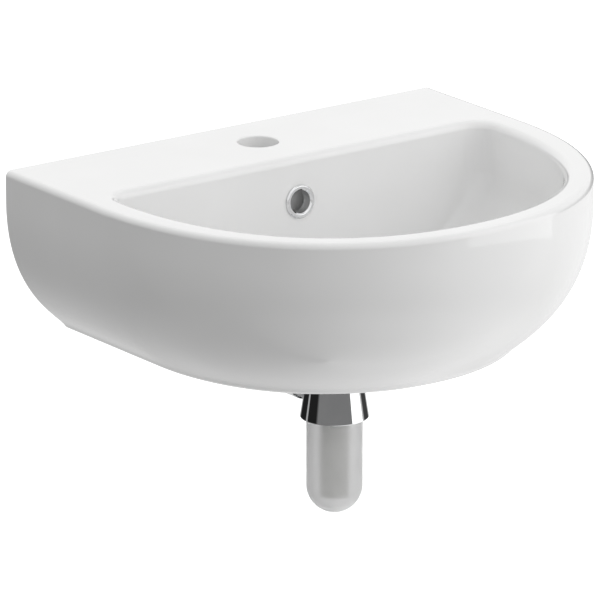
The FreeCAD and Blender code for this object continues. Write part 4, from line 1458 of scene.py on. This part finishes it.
@dataclass
class WallPipe:
    """Pipe into the wall and the dished cover that slides on it."""

    radius: float = 16.0 * MM
    wall: float = 0.9 * MM
    rose: float = 32.0 * MM
    collar: float = 2.2 * MM
    sheet: float = 1.2 * MM
    brim: float = 5.0 * MM
    root_share: float = 0.38
    bend_share: float = 0.58

    def build(self, shop: Workshop) -> None:
        """Turns the pipe and the cover about the outlet's axis.

        Args:
            shop: the workshop.
        """
        low, high = extent("outlet_pipe")
        place = (0, 0, (low.z + high.z) / 2)
        bore, middle = self.radius - self.wall, (low.y + high.y) / 2
        profile = rounded([(bore, middle), (bore, low.y, FINE), (self.radius, low.y, EASED),
                           (self.radius, high.y, EASED), (bore, high.y, FINE),
                           (bore, middle + SEAM)], 4)
        shop.chrome("wall_pipe", profile, "basin", "outlet_pipe", place=place, along_y=True)
        low, high = extent("wall_rose")
        bore, neck = self.radius + FIT, self.radius + self.collar
        dish, sheet = self.rose - self.brim, self.sheet
        root, bend = (low.y + share * (high.y - low.y) for share in (self.root_share, self.bend_share))
        middle = (low.y + root) / 2
        profile = rounded([(bore, middle), (bore, low.y, EASED), (neck, low.y, 0.7 * MM),
                           (neck, root, 1.6 * MM), (dish, bend, 3.0 * MM),
                           (self.rose, high.y - sheet, FULL),
                           (self.rose, high.y, CRISP), (self.rose - sheet, high.y, CRISP),
                           (dish - sheet, bend + sheet, 2.0 * MM), (bore, root + sheet, FINE),
                           (bore, middle + SEAM)], 8)
        shop.chrome("wall_cover", profile, "rose", "wall_rose", place=place, along_y=True, steps=144)


# ------------------------------------------------------------------ wall fixings


@dataclass
class Fixing:
    """One hanger bolt with its hexagon nut."""

    side: str
    radius: float = 5.0 * MM
    core: float = 4.35 * MM
    crest: float = 0.6 * MM
    pitch: float = 1.5 * MM
    wood_core: float = 3.1 * MM
    wood_crest: float = 0.95 * MM
    wood_pitch: float = 3.6 * MM
    thread_end: float = -2.0 * MM
    neck: float = 6.0 * MM
    point: float = 9.0 * MM
    sunk: tuple[float, float] = (0.02 * MM, 0.05 * MM)  # machine and wood thread, into their cores
    flat: float = 8.5 * MM
    chamfer: float = 0.9 * MM
    tip: tuple[float, float] = (0.6 * MM, 0.8 * MM)  # chamfer across and along
    lead: float = 0.7 * MM
    taper: float = 2.4 * MM
    wood_ends: tuple[float, float] = (3 * MM, 1 * MM)
    tip_gap: float = 0.9 * MM
    crease: float = 50.0

    def build(self, shop: Workshop) -> None:
        """Makes the bolt and its nut.

        Args:
            shop: the workshop.
        """
        bolt, nut, name = "wall_bolt_" + self.side, "bolt_nut_" + self.side, "hanger_bolt_" + self.side
        low, high = extent(bolt)
        x, end = (low.x + high.x) / 2, high.y - self.point
        profile = rounded([(0, low.y), (self.core - self.tip[0], low.y, CRISP),
                           (self.core, low.y + self.tip[1], CRISP), (self.core, self.thread_end),
                           (self.radius, self.thread_end + self.lead, CRISP),
                           (self.radius, self.neck, FINE), (self.wood_core, self.neck + self.taper, FINE),
                           (self.wood_core, end, SOFT), (0, high.y)], 3)
        parts = [shop.turned(name, profile, Slot.ZINC, (x, 0, 0), along_y=True, steps=48, closed=False)]
        for thread, core, crest, pitch, start, stop in (
                ("machine_thread", self.core - self.sunk[0], self.crest, self.pitch, low.y + self.tip_gap,
                 self.thread_end - self.lead),
                ("wood_thread", self.wood_core - self.sunk[1], self.wood_crest, self.wood_pitch,
                 self.neck + self.wood_ends[0], end - self.wood_ends[1])):
            parts.append(shop.threaded(thread, core, crest, stop - start, pitch, Slot.ZINC, (x, start, 0),
                                       along_y=True))
        shop.deliver(joined(parts, name), "basin", bolt, self.crease)
        low, high = extent(nut)
        piece = hexagon_nut("fixing_nut_" + self.side, self.flat, high.y - low.y, self.radius + FIT,
                            self.chamfer)
        piece.data.transform(Matrix.Translation((x, low.y, 0)) @ Matrix.Rotation(-QUARTER, 4, "X"))
        piece.data.materials.append(shop.finishes[Slot.ZINC])
        shop.deliver(piece, "basin", nut, NUT_CREASE)


def dress_nodes(shop: Workshop) -> None:
    """Gives every CAD node the finish of its own slot.

    Args:
        shop: the workshop with the finishes.
    """
    slots = {part["node"]: part["material_slot"] for part in frame["record"]["subparts"]}
    for name, node in frame["nodes"].items():
        for holder in node.material_slots:
            holder.material = shop.finishes[Slot(slots[name])]


# ------------------------------------------------------------------ studio


@dataclass(frozen=True)
class Sky:
    """Soft light from all round, as bands of brightness by direction.

    Directions are degrees round the object: 0 is straight out from the wall, 90 its right.
    Bands change over between two heights in degrees.
    """

    top: Stops = ((-180, 1.6), (-90, 0.92), (0, 1.42), (60, 0.9), (120, 1.15), (180, 1.6))
    level: Stops = (
        (-180, 0.02), (-146, 0.02), (-143, 0.6), (-138, 0.6), (-135, 0.02), (-100, 0.02), (-92, 0.28),
        (24, 0.28), (30, 0.85), (74, 0.85), (80, 0.08), (116, 0.06), (140, 0.03), (180, 0.02))
    low: Stops = ((-180, 0.7), (-130, 0.12), (-60, 0.1), (0, 0.7), (70, 1.35), (120, 1.2), (180, 0.7))
    ground: Stops = ((-180, 1.0), (-90, 0.22), (0, 1.4), (90, 1.85), (180, 1.0))
    rise: tuple[float, float] = (3.0, 11.0)
    fall: tuple[float, float] = (-12.5, -15.5)
    dip: tuple[float, float] = (-34.0, -52.0)
    backdrop: float = 1.0

    def build(self) -> None:
        """Makes the world; the camera itself sees a plain white backdrop."""
        world = bpy.data.worlds.new("soft_light")
        bpy.context.scene.world = world
        world.use_nodes = True
        nodes = Nodes(world.node_tree)
        nodes.tree.nodes.clear()
        x, y, z = nodes.axes(nodes.add("ShaderNodeTexCoord", output="Generated"))
        turn = nodes.math("ARCTAN2", x, nodes.math("MULTIPLY", y, -1.0))
        about = nodes.math("ADD", nodes.math("DIVIDE", turn, 2 * math.pi), 0.5)
        degrees = nodes.math("MULTIPLY", nodes.math("ARCSINE", z), 180 / math.pi)
        light = self.band(nodes, about, self.level)
        for (start, stop), stops in ((self.rise, self.top), (self.fall, self.low), (self.dip, self.ground)):
            share = nodes.add("ShaderNodeMapRange", {
                "Value": degrees, "From Min": min(start, stop), "From Max": max(start, stop),
                "To Min": float(start > stop), "To Max": float(start < stop)},
                interpolation_type="SMOOTHSTEP")
            light = self.mix(nodes, share, light, self.band(nodes, about, stops))
        path = nodes.tree.nodes.new("ShaderNodeLightPath").outputs
        through = nodes.math("MAXIMUM", path["Is Camera Ray"], path["Is Transmission Ray"])
        seen = self.mix(nodes, through, light, self.backdrop)
        nodes.feed(nodes.tree.nodes.new("ShaderNodeOutputWorld"),
                   {"Surface": nodes.add("ShaderNodeBackground", {"Strength": seen})})

    def band(self, nodes: Nodes, place: Socket, stops: Stops) -> Socket:
        """Adds a band's brightness by direction.

        Args:
            nodes: the world's tree.
            place: direction from 0 to 1.
            stops: (degrees, brightness) of the band's corners.

        Returns:
            The brightness.
        """
        node = nodes.tree.nodes.new("ShaderNodeFloatCurve")
        curve = node.mapping.curves[0]
        top = max(value for _, value in stops)
        for i, (degrees, value) in enumerate(stops):
            spot = (degrees / 360 + 0.5, value / top)
            if i < 2:
                curve.points[i].location = spot
            else:
                curve.points.new(*spot)
        for point in curve.points:
            point.handle_type = "VECTOR"
        node.mapping.update()
        nodes.feed(node, {"Value": place})
        return nodes.math("MULTIPLY", node.outputs[0], top)

    def mix(self, nodes: Nodes, share: Socket, first: object, second: object) -> Socket:
        """Mixes two brightnesses."""
        rest = nodes.math("SUBTRACT", 1.0, share)
        return nodes.math("ADD", nodes.math("MULTIPLY", first, rest), nodes.math("MULTIPLY", second, share))


@dataclass(frozen=True)
class Softbox:
    """Tall curved softbox to the right of the camera, seen in gloss but not by the camera."""

    strength: float = 1.7
    centre: Point = (0.03, -0.372)
    radius: float = 1.5
    turn: tuple[float, float] = (26.0, 75.5)
    height: tuple[float, float] = (-0.396, 1.9)
    columns: int = 16

    def build(self) -> None:
        """Makes the panel as a strip that glows."""
        points = []
        for i in range(self.columns + 1):
            turn = math.radians(self.turn[0] + (self.turn[1] - self.turn[0]) * i / self.columns)
            x = self.centre[0] + self.radius * math.sin(turn)
            y = self.centre[1] - self.radius * math.cos(turn)
            points += [(x, y, self.height[0]), (x, y, self.height[1])]
        faces = [(2 * i, 2 * i + 1, 2 * i + 3, 2 * i + 2) for i in range(self.columns)]
        panel = mesh_object("softbox", points, faces)
        material = bpy.data.materials.new("softbox_light")
        material.use_nodes = True
        nodes = Nodes(material.node_tree)
        nodes.tree.nodes.clear()
        glow = nodes.add("ShaderNodeEmission", {"Strength": self.strength})
        nodes.feed(nodes.tree.nodes.new("ShaderNodeOutputMaterial"), {"Surface": glow})
        stage(panel, material, ("camera", "shadow", "transmission"))


def stage(shape: Shape, material: bpy.types.Material, unseen_by: Sequence[str]) -> None:
    """Makes an object part of the studio.

    Args:
        shape: the object.
        material: its material.
        unseen_by: kinds of ray that pass it by.
    """
    shape.data.materials.append(material)
    for ray in unseen_by:
        setattr(shape, "visible_" + ray, False)


@dataclass(frozen=True)
class Studio:
    """Camera, floor and light."""

    lens: float = 479.69
    azimuth: float = -36.226
    elevation: float = 17.067
    target: Place = (0.00028, -0.11358, -0.05682)
    distance: float = 6.8249
    far: float = 200.0
    floor: float = -0.75
    floor_size: float = 60.0
    floor_tone: float = 0.9
    floor_glow: float = 0.45

    def build(self) -> None:
        """Sets up everything that isn't part of the object."""
        bpy.context.scene.view_settings.view_transform = "Standard"
        Sky().build()
        Softbox().build()
        self.set_floor()
        self.set_camera()

    def set_camera(self) -> None:
        """Places the camera at the photograph's angle."""
        turn, rise = math.radians(self.azimuth), math.radians(self.elevation)
        back = Vector((math.sin(turn) * math.cos(rise), -math.cos(turn) * math.cos(rise), math.sin(rise)))
        data = bpy.data.cameras.new("camera")
        data.lens = self.lens
        data.clip_end = self.far
        camera = bpy.data.objects.new("camera", data)
        camera.location = Vector(self.target) + back * self.distance
        camera.rotation_euler = (-back).to_track_quat("-Z", "Y").to_euler()
        bpy.context.scene.collection.objects.link(camera)
        bpy.context.scene.camera = camera

    def set_floor(self) -> None:
        """Lays a pale floor well below the object, clear from underneath."""
        s, z = self.floor_size, self.floor
        floor = mesh_object("floor", [(-s, -s, z), (s, -s, z), (s, s, z), (-s, s, z)], [(0, 1, 2, 3)])
        material = bpy.data.materials.new("pale_floor")
        material.use_nodes = True
        nodes = Nodes(material.node_tree)
        shader = nodes.tree.nodes["Principled BSDF"]
        nodes.feed(shader, {"Base Color": (self.floor_tone,) * 3 + (1,), "Roughness": self.floor_tone,
                            "Emission Color": (1, 1, 1, 1), "Emission Strength": self.floor_glow})
        either = nodes.add("ShaderNodeMixShader", {
            0: nodes.add("ShaderNodeNewGeometry", output="Backfacing"), 1: shader.outputs[0],
            2: nodes.add("ShaderNodeBsdfTransparent")})
        nodes.feed(nodes.tree.nodes["Material Output"], {"Surface": either})
        stage(floor, material, ("diffuse", "glossy", "transmission", "shadow"))


# ------------------------------------------------------------------ all of it


def main() -> None:
    """Builds every piece round the frame, then the studio."""
    logging.basicConfig(level=logging.INFO, format="%(name)s: %(message)s")
    shop = Workshop()
    body = CeramicBody()
    dress_nodes(shop)
    body.build(shop)
    OverflowRing().build(shop, body)
    for assembly in (Waste(), Plug(), BottleTrap()):
        assembly.build(shop, -body.waste_back)
    WallPipe().build(shop)
    for side in ("left", "right"):
        Fixing(side).build(shop)
    Studio().build()


if __name__ == "__main__":
    main()
